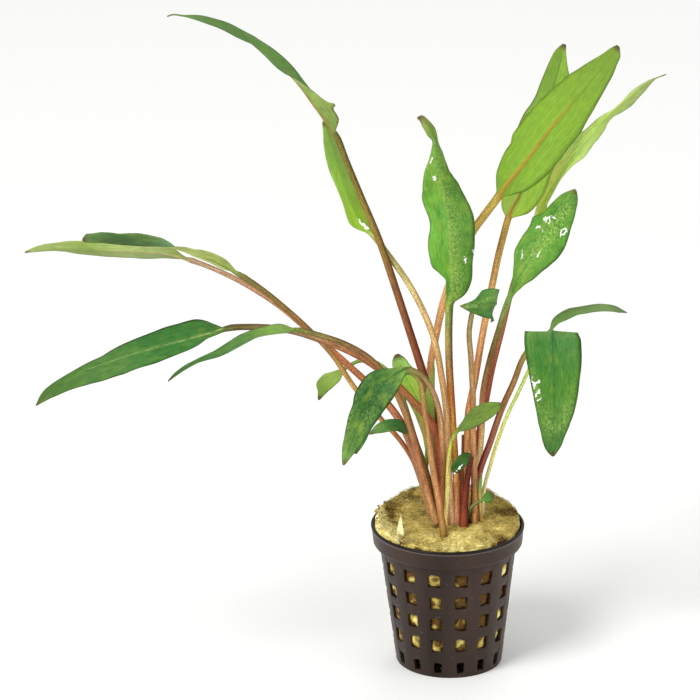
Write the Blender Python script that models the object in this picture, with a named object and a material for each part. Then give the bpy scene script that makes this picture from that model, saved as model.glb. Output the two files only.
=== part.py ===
"""A cryptocoryne, a water plant, in a plastic net pot filled with rock wool.

Lengths are in millimetres and MM turns them into metres. +Z is up, +X is right and -Y is the front.
The origin is the middle of the pot's underside.
"""

import math

import bmesh
import bpy
import numpy as np
from mathutils import Matrix, Vector, noise

MM = 0.001
FOOT_GAP = 0.7  # from the wool's surface to the end of each stalk

POT_WALL = 1.2
POT_UNDERSIDE_RADIUS = 18.0
# Outer radius and height at the wall's top, at the shoulder above it and at the flared rim's edge.
POT_WALL_TOP = (22.9, 42.0)
POT_SHOULDER = (25.3, 43.1)
POT_RIM = (26.0, 49.5)
# How far the inner skin lies above the outer one, at the wall's top and at the shoulder.
SHOULDER_SLOPES = (0.5, 0.9)
POT_COLUMNS = 15
POT_COLUMN_TURN = math.radians(11)
HOLE_ANGLE = math.radians(11)
HOLE_HEIGHT = 4.6
HOLE_PITCH = 8.3
HOLE_ROWS = 5
LOWEST_HOLE = 1.6
FLOOR_HOLE_RADII = (8.5, 13.5)

WOOL_SIDES = 30
# Radius and height up the plug's side, clear of the pot's wall and then of its rim.
WOOL_SIDE = ((17.1, 8.0), (18.8, 22.0), (20.2, 34.0), (20.9, 42.0), (23.6, 46.0), (24.3, 49.3))
WOOL_TOP_RADII = (21.5, 17.0, 11.0, 5.0)
WOOL_LUMP = 0.5
WOOL_INSET = 0.4
WOOL_MIDDLE = 51.6
WOOL_BACK_RISE = 2.4
WOOL_EDGE_FALL = 1.6
WOOL_RADIUS = 24.0

# A blade with no roll turns its upper face this way, to a viewer 21 degrees above the front.
VIEWER = Vector((0, -math.cos(math.radians(21)), math.sin(math.radians(21))))
BLADE_THICKNESS = 0.7
TIP_HALF_WIDTH = 0.25
QUARTER_REACH = 0.55  # where a blade's shoulders lie between its midrib and its edge
RING_POINTS = 8
STEPS_PER_SPAN = 2

SKINS = {
    "dark": (0.05, 0.13, 0.04),
    "green": (0.10, 0.24, 0.05),
    "lime": (0.32, 0.45, 0.08),
    "pale": (0.36, 0.44, 0.16),
    "bright": (0.28, 0.47, 0.08),
    "tan": (0.42, 0.24, 0.10),
    "maroon": (0.16, 0.05, 0.04),
}

# Each leaf is one midline, from its foot in the wool to its tip. foot is X and Y on the wool, and radii are
# the stalk's at its foot and at its top. stalk holds X, Y, Z. blade holds X, Y, Z, half its width, its roll
# about the midline and how far its halves fold up, both in degrees.
LEAVES = {
    "leaf_high_arch": dict(
        foot=(-1.5, 5.5), radii=(1.4, 1.1), skin="maroon",
        stalk=[(-2.5, 6, 70), (-5, 4.5, 90.5), (-9, 3.5, 104), (-12, 2.5, 115), (-17.5, 1, 133),
            (-23.5, -1, 152.5), (-29, -2.5, 166.5), (-33.5, -5, 180.5)],
        blade=[(-38, -7, 191, 1.5, 90, 20), (-42, -8.5, 197, 7, 95, 40), (-46, -10.5, 203, 7, 95, 35),
            (-50, -11.5, 209, 5.5, 85, 30), (-55.5, -13.5, 216.5, 5.5, 72, 8),
            (-62.5, -16, 223.5, 5.5, 72, 5), (-72, -19, 230, 4.5, 70, 5),
            (-81.5, -22, 235, 2.6, 70, 5), (-92, -25, 236.5, 0.4, 70, 0)],
    ),
    "leaf_lime_left": dict(
        foot=(1, -4), radii=(1.1, 1), skin="lime",
        stalk=[(-0.5, -1, 73), (-1, -1, 91), (-2.5, -1, 103.5), (-4.5, -1, 116), (-8.5, 0, 127.5),
            (-14, 1, 136), (-19.5, 3, 144)],
        blade=[(-25, 5, 149, 1.2, 20, 10), (-30.5, 11, 153.5, 3, 35, 15),
            (-34, 14, 160.5, 4.8, 42, 15), (-37, 17.5, 169, 4.8, 42, 15),
            (-40, 21.5, 178.5, 3.2, 30, 15), (-42.5, 24, 185, 0.4, 20, 0)],
    ),
    "leaf_wavy_upright": dict(
        foot=(3, -6), radii=(1.2, 1.1), skin="green",
        stalk=[(2.5, -2.5, 64.5), (2, 1, 76), (1, 1.5, 90), (0, 1, 108), (0, 1, 119)],
        blade=[(0.5, 0, 127, 1.5, 0, 10), (1.5, -0.5, 134, 4.6, 5, 20), (1, -2, 143, 6.6, 5, 20),
            (0, -3.5, 151, 8, 8, 20), (-0.5, -5, 160, 8, 5, 15), (-3, -6.5, 169.5, 7.2, -10, 15),
            (-4.5, -8, 178, 4.5, -10, 15), (-5, -10, 186, 2, 0, 10), (-7, -11.5, 193.5, 1.6, 20, 10),
            (-11.5, -14, 198.5, 0.4, 40, 0)],
    ),
    "leaf_bright_underside": dict(
        foot=(-5, 7), radii=(1.1, 1), skin="bright",
        stalk=[(-6.5, 9.5, 72.5), (-7, 8.5, 89), (-6.5, 8, 102), (-4.5, 8, 114.5), (-2, 7.5, 127.5),
            (2.5, 7.5, 139.5), (8, 7.5, 152)],
        blade=[(16, 6, 164.5, 1.5, 180, 5), (19, 5, 170, 5.2, 182, 8), (24, 4.5, 176, 7.4, 184, 8),
            (30, 2.5, 185.5, 9.4, 184, 10), (35.5, 1, 194, 8.8, 184, 10),
            (41, -1, 201.5, 7.6, 184, 10), (47, -3, 209.5, 5.2, 180, 8),
            (51, -4.5, 215.5, 3.5, 180, 5), (54, -6, 220, 0.5, 180, 0)],
    ),
    "leaf_behind_bright": dict(
        foot=(4.5, 2.5), radii=(1.2, 1), skin="bright",
        stalk=[(4.5, 1.5, 65.5), (6, 0.5, 77.5), (6.5, 0.5, 89.5), (8, 2.5, 98.5), (11, 5, 114),
            (14, 7.5, 131.5), (17, 13, 143)],
        blade=[(21, 18, 154.5, 1.2, 0, 5), (23, 20, 158, 6.3, 0, 8), (26, 24, 167.5, 8, -5, 10),
            (30, 28, 179.5, 7.5, -5, 10), (33.5, 30.5, 190, 5.5, -5, 10), (36, 33, 198, 3.6, -5, 10),
            (38.5, 36, 207.5, 0.5, 0, 0)],
    ),
    "leaf_small_folded": dict(
        foot=(9, -5.5), radii=(1, 0.7), skin="dark",
        stalk=[(8.5, -3, 66.5), (8, -4, 81.5), (8, -5, 96), (7, -5.5, 111), (6.5, -6.5, 123.5),
            (8, -6.5, 129.5), (12, -7, 131.5)],
        blade=[(15, -8.5, 132, 0.9, 0, 5), (14, -10, 132, 4.8, -10, 8), (11, -11.5, 132.5, 4.2, 0, 10),
            (8.5, -12.5, 132.5, 2.6, 0, 10), (5.5, -12.5, 132.5, 1.2, 0, 8), (3, -13, 133, 0.3, 0, 0)],
    ),
    "leaf_long_pale": dict(
        foot=(10, 9.5), radii=(1.2, 0.9), skin="pale",
        stalk=[(9.5, 6.5, 75), (12.5, 8, 91), (14.5, 9, 101.5), (17.5, 10.5, 115.5),
            (21.5, 13.5, 130.5)],
        blade=[(26.5, 19.5, 143, 1.2, -50, 5), (31, 25.5, 153, 3, -48, 5),
            (35.5, 29.5, 162, 5, -60, 8), (42.5, 34, 170, 5.5, -60, 8), (47.5, 36.5, 175, 5.2, -60, 8),
            (53, 39.5, 180.5, 3.8, -65, 8), (61, 43.5, 186.5, 3, -68, 5), (68, 47, 191, 1.8, -68, 0),
            (73.5, 50, 192.5, 0.4, -68, 0)],
    ),
    "leaf_speckled_glossy": dict(
        foot=(8, 6.5), radii=(1.2, 0.9), skin="green",
        stalk=[(10, 2.5, 70.5), (11, 2.5, 82.5), (11, 2, 95), (13.5, 2, 108), (16, 1.5, 119)],
        blade=[(20, 1, 130, 1.2, 0, 5), (22, 0.5, 136, 3, 5, 12), (25, 0.5, 141.5, 4.5, 8, 12),
            (29.5, 0, 148.5, 6.4, 8, 12), (34, 0, 155, 6.2, 5, 12), (38.5, -0.5, 164, 3.2, 0, 8),
            (41, -1, 169, 0.5, 0, 0)],
    ),
    "leaf_hanging_dark": dict(
        foot=(10, -1.5), radii=(1.2, 0.9), skin="dark",
        stalk=[(10, -0.5, 67), (13.5, -1, 79), (18, -2.5, 92.5), (22, -3.5, 102), (25, -5, 111.5),
            (28, -8, 119.5)],
        blade=[(31.5, -12.5, 123.5, 1.5, 0, 5), (33, -16, 122.5, 8.6, 0, 8),
            (33.5, -19, 118, 9.3, 0, 12), (34, -22.5, 111, 8.2, 0, 12), (34.5, -25.5, 101, 5.8, 0, 12),
            (34.5, -27.5, 92.5, 3.4, 0, 10), (34, -29, 86, 0.5, 0, 0)],
    ),
    "leaf_narrow_arch": dict(
        foot=(11.5, 2), radii=(0.6, 0.5), skin="green",
        stalk=[(12, 1, 61), (14, 2.5, 70.5), (17.5, 3.5, 81.5), (20.5, 4.5, 89.5), (23.5, 5, 96),
            (26.5, 5.5, 102.5), (30.5, 7, 112)],
        blade=[(33.5, 7.5, 116, 0.8, -60, 5), (36, 8.5, 119.5, 3, -68, 5),
            (41, 10, 121.5, 3.6, -70, 5), (47, 12.5, 122, 3.2, -70, 5), (54, 14.5, 121.5, 2, -70, 5),
            (60, 17, 119, 0.4, -70, 0)],
    ),
    "leaf_pale_left": dict(
        foot=(-6, 2.5), radii=(1.1, 0.9), skin="pale",
        stalk=[(-11.5, 0.5, 74), (-16.5, 1.5, 86.5), (-23, 3.5, 95), (-31.5, 4.5, 103.5),
            (-45, 8, 115), (-57, 11, 124.5), (-70.5, 14, 132), (-80.5, 16.5, 136)],
        blade=[(-88.5, 18.5, 138, 1.2, 106, 5), (-94, 20.5, 139, 4.2, 106, 5),
            (-104, 23.5, 139, 5, 108, 5), (-116, 27.5, 138, 6, 108, 5),
            (-126.5, 31.5, 137, 5.8, 108, 5), (-136, 35.5, 135.5, 2.8, 110, 0),
            (-144, 38, 133, 0.4, 110, 0)],
    ),
    "leaf_folded_left": dict(
        foot=(-7.5, 6.5), radii=(1.1, 0.9), skin="pale",
        stalk=[(-12.5, 4.5, 69), (-16, 4, 77), (-22.5, 2.5, 86.5), (-30.5, 1.5, 98),
            (-39.5, 1.5, 111.5), (-46.5, 2, 119.5), (-53.5, 2, 126), (-62.5, 1.5, 133)],
        blade=[(-70.5, 0.5, 139, 1.2, 80, 8), (-76, 1, 142.5, 4, 95, 20),
            (-83, 1, 145.5, 3.2, 100, 20), (-93, 2, 148, 4, 78, 10), (-103, 3, 150, 4.4, 68, 5),
            (-113, 4, 151, 4.2, 68, 5), (-123, 5, 149.5, 0.4, 68, 0)],
    ),
    "leaf_big_left": dict(
        foot=(-2.5, 0.5), radii=(1.5, 1.3), skin="dark",
        stalk=[(-3, 0, 72.5), (-6.5, -0.5, 87), (-12, -1.5, 95), (-18, -2.5, 102), (-24, -3.5, 106),
            (-33.5, -4.5, 112.5), (-43.5, -5.5, 118), (-53.5, -6.5, 121.5), (-66.5, -8.5, 124)],
        blade=[(-74, -11.5, 124, 1.5, 50, 5), (-79, -13, 123, 5.2, 52, 5),
            (-85.5, -15, 122, 8.4, 55, 5), (-96, -17.5, 119.5, 9, 55, 5), (-107, -20, 117, 8, 56, 5),
            (-117.5, -23, 113.5, 6, 57, 5), (-128.5, -26, 109, 4.6, 57, 5),
            (-137, -28.5, 103.5, 0.4, 57, 0)],
    ),
    "leaf_thin_left": dict(
        foot=(-4.5, -6), radii=(1.3, 1), skin="green",
        stalk=[(-7.5, -4.5, 63.5), (-10, -5.5, 75), (-13, -7, 86), (-16, -8, 96), (-20.5, -9.5, 105),
            (-26.5, -11, 114), (-35, -13, 120), (-43.5, -15, 123.5)],
        blade=[(-52, -18, 126.5, 1.2, 90, 5), (-57.5, -20, 127, 3.5, 97, 12),
            (-64, -22, 126, 3.4, 78, 8), (-72, -25, 123, 3.4, 72, 5), (-80.5, -28, 120, 2.6, 72, 5),
            (-87.5, -31, 117.5, 1.6, 72, 0), (-93, -34, 114, 0.4, 72, 0)],
    ),
    "leaf_drooping_dark": dict(
        foot=(-1.5, -3.5), radii=(1.1, 1), skin="dark",
        stalk=[(-2, -5, 67.5), (-2.5, -6, 82), (-4, -7.5, 94.5), (-6.5, -10, 102.5), (-10, -12.5, 108)],
        blade=[(-16, -15, 111, 1.4, 30, 5), (-19.5, -17, 110, 4.2, 20, 20),
            (-23.5, -19, 107, 6, 8, 15), (-27, -21.5, 102, 5.8, 0, 15),
            (-29.5, -23.5, 96.5, 4.3, -5, 12), (-32.5, -26, 90, 2.9, 0, 10),
            (-35.5, -29, 82.5, 0.4, 0, 0)],
    ),
    "leaf_drooping_behind": dict(
        foot=(-2, -16), radii=(1.2, 0.9), skin="tan",
        stalk=[(-3, -12, 60.5), (-5.5, -11, 72.5), (-7, -10.5, 84), (-8.5, -10.5, 94.5),
            (-9, -9.5, 100.5)],
        blade=[(-11.5, -10.5, 105, 1.2, 20, 5), (-15.5, -13.5, 105.5, 3.5, 10, 5),
            (-20, -16, 100.5, 3.6, 0, 5), (-24.5, -19, 93, 3, 0, 5), (-28.5, -21, 88, 2.2, 0, 5),
            (-31, -22.5, 85, 0.6, 0, 0)],
    ),
    "leaf_lime_behind": dict(
        foot=(-8, 10), radii=(0.7, 0.6), skin="lime",
        stalk=[(-8, 8, 62)],
        blade=[(-8.5, 6.5, 73.5, 0.9, 0, 5), (-10, 6, 83, 3, -5, 8), (-12, 5.5, 92, 4.2, -10, 10),
            (-14, 6, 99, 4, -10, 10), (-16, 5.5, 104.5, 2.6, -10, 5), (-17.5, 5, 108.5, 0.4, 0, 0)],
    ),
    "leaf_strip_behind": dict(
        foot=(-5, -1), radii=(0.6, 0.5), skin="lime",
        stalk=[(-5, 2, 68)],
        blade=[(-5.5, 3, 79.5, 0.8, 0, 5), (-6.5, 3, 87.5, 1.6, 0, 8), (-6.5, 2, 95.5, 1.6, 0, 8),
            (-6, 1, 101.5, 0.9, 0, 5), (-6, 1, 107, 0.3, 0, 0)],
    ),
    "leaf_small_dark": dict(
        foot=(-8, -1), radii=(0.8, 0.6), skin="dark",
        stalk=[(-10, -1.5, 66), (-12.5, -2.5, 78)],
        blade=[(-14, -2.5, 83, 0.8, 30, 5), (-17, -3, 85.5, 2.3, 25, 10),
            (-20.5, -3.5, 86.5, 2, 25, 10), (-24, -4.5, 86, 1.2, 20, 5), (-26.5, -5, 84, 0.3, 20, 0)],
    ),
    "leaf_small_light": dict(
        foot=(-4, 3.5), radii=(0.8, 0.6), skin="lime",
        stalk=[(-7, 2.5, 69), (-10.5, 2.5, 79), (-13.5, 2.5, 89), (-16.5, 3, 96.5), (-21, 5.5, 103),
            (-26, 7.5, 105.5), (-31, 8, 105.5)],
        blade=[(-35.5, 8, 102.5, 0.8, 0, 5), (-38.5, 8, 100, 3, 0, 10), (-41.5, 8, 96.5, 2.7, 0, 10),
            (-44, 8, 91.5, 0.4, 0, 0)],
    ),
    "leaf_small_front": dict(
        foot=(-0.5, -6.5), radii=(0.8, 0.6), skin="green",
        stalk=[(-0.5, -7.5, 66.5), (0, -9.5, 78), (0.5, -11.5, 84.5)],
        blade=[(2.5, -13.5, 88.5, 0.8, 0, 5), (4.5, -14.5, 91, 2.3, 0, 8), (9, -15.5, 94.5, 3, 0, 8),
            (13, -17, 97.5, 2.5, 0, 8), (17.5, -18, 100, 0.4, 0, 0)],
    ),
    "leaf_small_hook": dict(
        foot=(5, -8.5), radii=(1.6, 0.6), skin="maroon",
        stalk=[(5, -6.5, 60.5), (6, -7, 71.5)],
        blade=[(7, -8, 77.5, 0.8, 0, 5), (5, -9.5, 77.5, 1.8, 10, 12), (3.5, -10.5, 76, 2.5, 10, 12),
            (2.5, -10.5, 73.5, 1.5, 0, 8), (1.5, -11, 71, 0.3, 0, 0)],
    ),
    "leaf_rolled_young": dict(
        foot=(11, -3.5), radii=(0.6, 0.6), skin="lime",
        stalk=[(10.5, -3.5, 59.5)],
        blade=[(10.5, -4, 63, 0.75, 0, 40), (10.5, -4.5, 66, 0.7, 0, 40), (11, -4.5, 69.5, 0.3, 0, 0)],
    ),
    "leaf_tiny_round": dict(
        foot=(7.5, -8), radii=(0.6, 0.5), skin="green",
        stalk=[(8, -8, 59.5), (10, -8, 61)],
        blade=[(11.5, -8.5, 62, 0.6, -20, 5), (12.5, -8.5, 62, 1.7, -20, 8),
            (13.5, -8.5, 62.5, 1.8, -20, 8), (14.5, -8.5, 63, 0.8, -20, 0)],
    ),
}

# A cut stalk, which only tapers.
STUB = dict(foot=(5, -5), radii=(0.5, 0.45), skin="maroon", stalk=[(4.5, -4.5, 66), (4.5, -3.5, 83)])


def material(name, colour, roughness):
    made = bpy.data.materials.new(name)
    made.use_nodes = True
    surface = made.node_tree.nodes["Principled BSDF"]
    surface.inputs["Base Color"].default_value = (*colour, 1)
    surface.inputs["Roughness"].default_value = roughness
    surface.inputs["Metallic"].default_value = 0
    return made


def add_piece(name, points, faces, surface, parent=None, place=(0, 0, 0)):
    """Adds one object with its origin at place, from points in the plant's frame, and turns its faces out."""
    mesh = bpy.data.meshes.new(name)
    mesh.from_pydata([(Vector(point) - Vector(place)) * MM for point in points], [], faces)
    shape = bmesh.new()
    shape.from_mesh(mesh)
    bmesh.ops.recalc_face_normals(shape, faces=shape.faces)
    shape.to_mesh(mesh)
    shape.free()
    mesh.shade_smooth()
    mesh.set_sharp_from_angle(angle=math.radians(40))
    mesh.materials.append(surface)
    piece = bpy.data.objects.new(name, mesh)
    piece.location = Vector(place) * MM
    piece.parent = parent
    bpy.context.scene.collection.objects.link(piece)
    return piece


def around(radius, z, turn):
    """A point of the pot or the plug: a turn of 0 is at the front, and a quarter turn is on the right."""
    return (radius * math.sin(turn), -radius * math.cos(turn), z)


def net_pot():
    """The basket: a wall and a floor with square-cornered slots, from an outer and an inner skin of one grid."""
    turns = []
    for column in range(POT_COLUMNS):
        middle = POT_COLUMN_TURN + 2 * math.pi * column / POT_COLUMNS
        turns += [middle - HOLE_ANGLE / 2, middle + HOLE_ANGLE / 2]
    # Each station is an outer and an inner radius and height, from the floor's middle out and up to the rim.
    stations = [((radius, 0.0), (radius, POT_WALL)) for radius in FLOOR_HOLE_RADII]
    stations.append(((POT_UNDERSIDE_RADIUS, 0.0), (POT_UNDERSIDE_RADIUS - POT_WALL, POT_WALL)))
    first_slot = len(stations)
    for row in range(HOLE_ROWS):
        for z in (LOWEST_HOLE + row * HOLE_PITCH, LOWEST_HOLE + row * HOLE_PITCH + HOLE_HEIGHT):
            radius = np.interp(z, [0, POT_WALL_TOP[1]], [POT_UNDERSIDE_RADIUS, POT_WALL_TOP[0]])
            stations.append(((radius, z), (radius - POT_WALL, z)))
    for (radius, z), slope in zip((POT_WALL_TOP, POT_SHOULDER, POT_RIM), (*SHOULDER_SLOPES, 0)):
        stations.append(((radius, z), (radius - POT_WALL, z + slope)))

    sides = len(turns)
    points = [around(radius, z, turn) for pair in stations for radius, z in pair for turn in turns]
    faces = []

    def at(station, skin, side):
        return (2 * station + skin) * sides + side % sides

    # The first gap is the floor's slots, and the wall's slots lie between each pair of heights.
    slotted = {0} | {first_slot + 2 * row for row in range(HOLE_ROWS)}
    for station in range(len(stations) - 1):
        for side in range(sides):
            corners = [(station, side), (station, side + 1), (station + 1, side + 1), (station + 1, side)]
            if station in slotted and side % 2 == 0:
                for (a, b), (c, d) in zip(corners, corners[1:] + corners[:1]):
                    faces.append((at(a, 0, b), at(c, 0, d), at(c, 1, d), at(a, 1, b)))
                continue
            for skin in (0, 1):
                faces.append([at(s, skin, k) for s, k in corners])
    top = len(stations) - 1
    faces += [(at(top, 0, k), at(top, 0, k + 1), at(top, 1, k + 1), at(top, 1, k)) for k in range(sides)]
    for skin, z in ((0, 0.0), (1, POT_WALL)):
        points.append((0, 0, z))
        faces += [(len(points) - 1, at(0, skin, k), at(0, skin, k + 1)) for k in range(sides)]
    return add_piece("net_pot", points, faces, material("black_plastic", (0.035, 0.028, 0.026), 0.45))


def wool_top(x, y):
    """The height of the wool's surface, which stands higher at the back and falls off at its edge."""
    back = WOOL_BACK_RISE * (max(y, 0) / 20) ** 2
    return WOOL_MIDDLE + back - WOOL_EDGE_FALL * (math.hypot(x, y) / WOOL_RADIUS) ** 6


def rock_wool(parent):
    """The plug that fills the pot, with a lumpy side and a domed top."""
    turns = [2 * math.pi * side / WOOL_SIDES for side in range(WOOL_SIDES)]
    bottom_radius, bottom = WOOL_SIDE[0]
    points = [around(bottom_radius / 2, bottom, turn) for turn in turns]
    for radius, z in WOOL_SIDE:
        for turn in turns:
            lump = WOOL_LUMP * noise.noise(Vector(around(3, z / 9, turn)))
            points.append(around(radius - WOOL_INSET + lump, z, turn))
    for radius in WOOL_TOP_RADII:
        for turn in turns:
            x, y, _ = around(radius, 0, turn)
            points.append((x, y, wool_top(x, y)))
    faces = []
    for low in range(0, len(points) - WOOL_SIDES, WOOL_SIDES):
        for side in range(WOOL_SIDES):
            after = (side + 1) % WOOL_SIDES
            faces.append((low + side, low + after, low + WOOL_SIDES + after, low + WOOL_SIDES + side))
    faces.append(list(range(WOOL_SIDES))[::-1])
    faces.append(list(range(len(points) - WOOL_SIDES, len(points))))
    surface = material("wool", (0.52, 0.42, 0.15), 0.95)
    return add_piece("rock_wool", points, faces, surface, parent)


def smooth_rows(rows, steps):
    """Rows along a smooth curve through the given rows, steps[k] of them in span k, and the heading at each."""
    rows = np.array(rows, float)
    spans = np.linalg.norm(np.diff(rows[:, :3], axis=0), axis=1)
    slopes = np.diff(rows, axis=0) / spans[:, None]
    rates = np.empty_like(rows)
    rates[0], rates[-1] = slopes[0], slopes[-1]
    share = (spans[:-1] / (spans[:-1] + spans[1:]))[:, None]
    rates[1:-1] = slopes[:-1] * (1 - share) + slopes[1:] * share
    made, headings = [], []
    for k, span in enumerate(spans):
        last = k == len(spans) - 1
        for step in range(steps[k] + last):
            t = step / steps[k]
            start, end = 2 * t**3 - 3 * t**2 + 1, 3 * t**2 - 2 * t**3
            leave, arrive = t**3 - 2 * t**2 + t, t**3 - t**2
            bend = span * (leave * rates[k] + arrive * rates[k + 1])
            made.append(start * rows[k] + end * rows[k + 1] + bend)
            slope = (6 * t**2 - 6 * t) * (rows[k, :3] - rows[k + 1, :3])
            slope += span * ((3 * t**2 - 4 * t + 1) * rates[k, :3] + (3 * t**2 - 2 * t) * rates[k + 1, :3])
            headings.append(Vector(slope).normalized())
    return [[float(value) for value in row] for row in made], headings


def leaf(name, parent, foot, radii, skin, stalk, blade=()):
    """One closed skin along the midline: a round stalk that opens into a thin blade with a raised midrib."""
    place = (*foot, wool_top(*foot) + FOOT_GAP)
    narrowing = len(stalk) + (len(blade) > 0)
    first_roll = blade[0][4] if blade else 0
    rows = []
    for k, point in enumerate([place, *stalk]):
        radius = radii[0] + (radii[1] - radii[0]) * k / narrowing
        rows.append((*point, radius, first_roll, 0))
    rows += blade
    steps = [1] * narrowing + [STEPS_PER_SPAN] * (len(blade) - 1)
    path, headings = smooth_rows(rows, steps)
    blade_start = len(stalk) + 1
    blade_length = max(1, len(path) - 1 - blade_start)

    points = []
    for k, (row, heading) in enumerate(zip(path, headings)):
        middle, half = Vector(row[:3]), max(row[3], TIP_HALF_WIDTH)
        facing = (VIEWER - VIEWER.dot(heading) * heading).normalized()
        up = Matrix.Rotation(math.radians(row[4]), 3, heading) @ facing
        side = heading.cross(up)
        fold = math.radians(row[5])
        midrib, opened = half, 0
        if blade and k >= blade_start:
            tapered = radii[1] + (TIP_HALF_WIDTH - radii[1]) * (k - blade_start) / blade_length
            midrib = min(half, tapered)
            opened = min(1, max(0, half / radii[1] - 1))
        for corner in range(RING_POINTS):
            turn = 2 * math.pi * corner / RING_POINTS
            tube = midrib * (math.cos(turn) * side + math.sin(turn) * up)
            # Corners 0 and 4 are the blade's edges, 2 and 6 its midrib, and the odd ones its shoulders.
            across = round(math.cos(turn) * math.sqrt(2)) * half
            rise = math.copysign(midrib, math.sin(turn)) if corner % 4 else 0
            if corner % 2:
                across *= QUARTER_REACH
                rise = math.copysign(BLADE_THICKNESS / 2, math.sin(turn))
            flat = across * math.cos(fold) * side + (abs(across) * math.sin(fold) + rise) * up
            points.append(middle + tube.lerp(flat, opened))
    faces = []
    for low in range(0, len(points) - RING_POINTS, RING_POINTS):
        for corner in range(RING_POINTS):
            after = (corner + 1) % RING_POINTS
            faces.append((low + corner, low + after, low + RING_POINTS + after, low + RING_POINTS + corner))
    faces.append(list(range(RING_POINTS))[::-1])
    faces.append(list(range(len(points) - RING_POINTS, len(points))))
    return add_piece(name, points, faces, material(f"{name}_skin", SKINS[skin], 0.4), parent, place)


for old in list(bpy.data.objects):
    bpy.data.objects.remove(old)

pot = net_pot()
wool = rock_wool(pot)
for leaf_name, shape in LEAVES.items():
    leaf(leaf_name, wool, **shape)
leaf("stalk_stub", wool, **STUB)
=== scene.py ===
"""The looks of a cryptocoryne in a plastic net pot filled with rock wool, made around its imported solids.

Lengths are in millimetres and MM turns them into metres. +Z is up, +X is right and -Y is the front.
"""

import math
import random

import bmesh
import bpy
import numpy as np
from mathutils import Matrix, Vector, noise


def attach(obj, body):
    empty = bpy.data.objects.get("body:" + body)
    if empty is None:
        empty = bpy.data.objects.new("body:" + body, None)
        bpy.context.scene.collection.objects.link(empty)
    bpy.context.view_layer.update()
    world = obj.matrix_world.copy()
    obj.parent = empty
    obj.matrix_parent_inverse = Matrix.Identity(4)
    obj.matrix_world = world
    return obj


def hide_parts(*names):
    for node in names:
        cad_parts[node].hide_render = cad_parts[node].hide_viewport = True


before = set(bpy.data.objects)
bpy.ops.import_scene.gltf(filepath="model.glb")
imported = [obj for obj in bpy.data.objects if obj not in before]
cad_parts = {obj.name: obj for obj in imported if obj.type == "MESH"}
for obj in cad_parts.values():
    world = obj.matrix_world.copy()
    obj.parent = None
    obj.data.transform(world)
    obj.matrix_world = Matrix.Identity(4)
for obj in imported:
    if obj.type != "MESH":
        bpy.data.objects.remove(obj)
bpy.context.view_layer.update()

# The studio: a plain pale floor, one broad soft lamp high on the left and two weaker ones, under an even
# white sky. The camera stands 1.8 m off, 21 degrees above the pot, as the photograph was taken.
MM = 0.001
CAMERA_PLACE = (-33.38, -1642.90, 742.86)
CAMERA_TILT = math.radians(69)
CAMERA_LENS = 270.68
CAMERA_REACH = 20
SENSOR_WIDTH = 36.0
FLOOR_HALF = 4000.0
SKY_STRENGTH = 0.58
# Where each lamp stands, how wide it is and its power in watts. They all point at the middle of the plant.
LAMPS = (
    ("lamp_left", (-900, -900, 1500), 700, 25),
    ("lamp_right", (1300, -500, 900), 900, 4),
    ("lamp_behind", (300, 1200, 1300), 900, 4),
)
LAMPS_AIM = Vector((-20, 0, 120)) * MM


def from_screen(red, green, blue, cover=1):
    """A colour as a screen shows it, 0 to 255 a channel, as the light it stands for and how far it covers."""
    shares = [channel / 255 for channel in (red, green, blue)]
    lights = [share / 12.92 if share <= 0.04045 else ((share + 0.055) / 1.055) ** 2.4 for share in shares]
    return (*lights, cover)


floor_mesh = bpy.data.meshes.new("floor")
floor_half = FLOOR_HALF * MM
floor_corners = [(x * floor_half, y * floor_half, 0) for x, y in ((-1, -1), (1, -1), (1, 1), (-1, 1))]
floor_mesh.from_pydata(floor_corners, [], [(0, 1, 2, 3)])
floor_skin = bpy.data.materials.new("pale_floor")
floor_skin.use_nodes = True
floor_shader = floor_skin.node_tree.nodes["Principled BSDF"]
floor_shader.inputs["Base Color"].default_value = from_screen(247, 247, 245)
floor_shader.inputs["Roughness"].default_value = 0.9
floor_mesh.materials.append(floor_skin)
floor = bpy.data.objects.new("floor", floor_mesh)
bpy.context.scene.collection.objects.link(floor)

for lamp_name, lamp_place, lamp_width, lamp_power in LAMPS:
    lamp_data = bpy.data.lights.new(lamp_name, "AREA")
    lamp_data.size = lamp_width * MM
    lamp_data.energy = lamp_power
    lamp = bpy.data.objects.new(lamp_name, lamp_data)
    lamp.location = Vector(lamp_place) * MM
    lamp.rotation_euler = (LAMPS_AIM - lamp.location).to_track_quat("-Z", "Y").to_euler()
    bpy.context.scene.collection.objects.link(lamp)

sky = bpy.data.worlds.new("white_sky")
sky.use_nodes = True
sky.node_tree.nodes["Background"].inputs["Color"].default_value = (1, 1, 1, 1)
sky.node_tree.nodes["Background"].inputs["Strength"].default_value = SKY_STRENGTH
bpy.context.scene.world = sky
bpy.context.scene.view_settings.view_transform = "Standard"

camera_data = bpy.data.cameras.new("camera")
camera_data.lens = CAMERA_LENS
camera_data.sensor_width = SENSOR_WIDTH
camera_data.clip_end = CAMERA_REACH
camera = bpy.data.objects.new("camera", camera_data)
camera.location = Vector(CAMERA_PLACE) * MM
camera.rotation_euler = (CAMERA_TILT, 0, 0)
bpy.context.scene.collection.objects.link(camera)
bpy.context.scene.camera = camera

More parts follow.
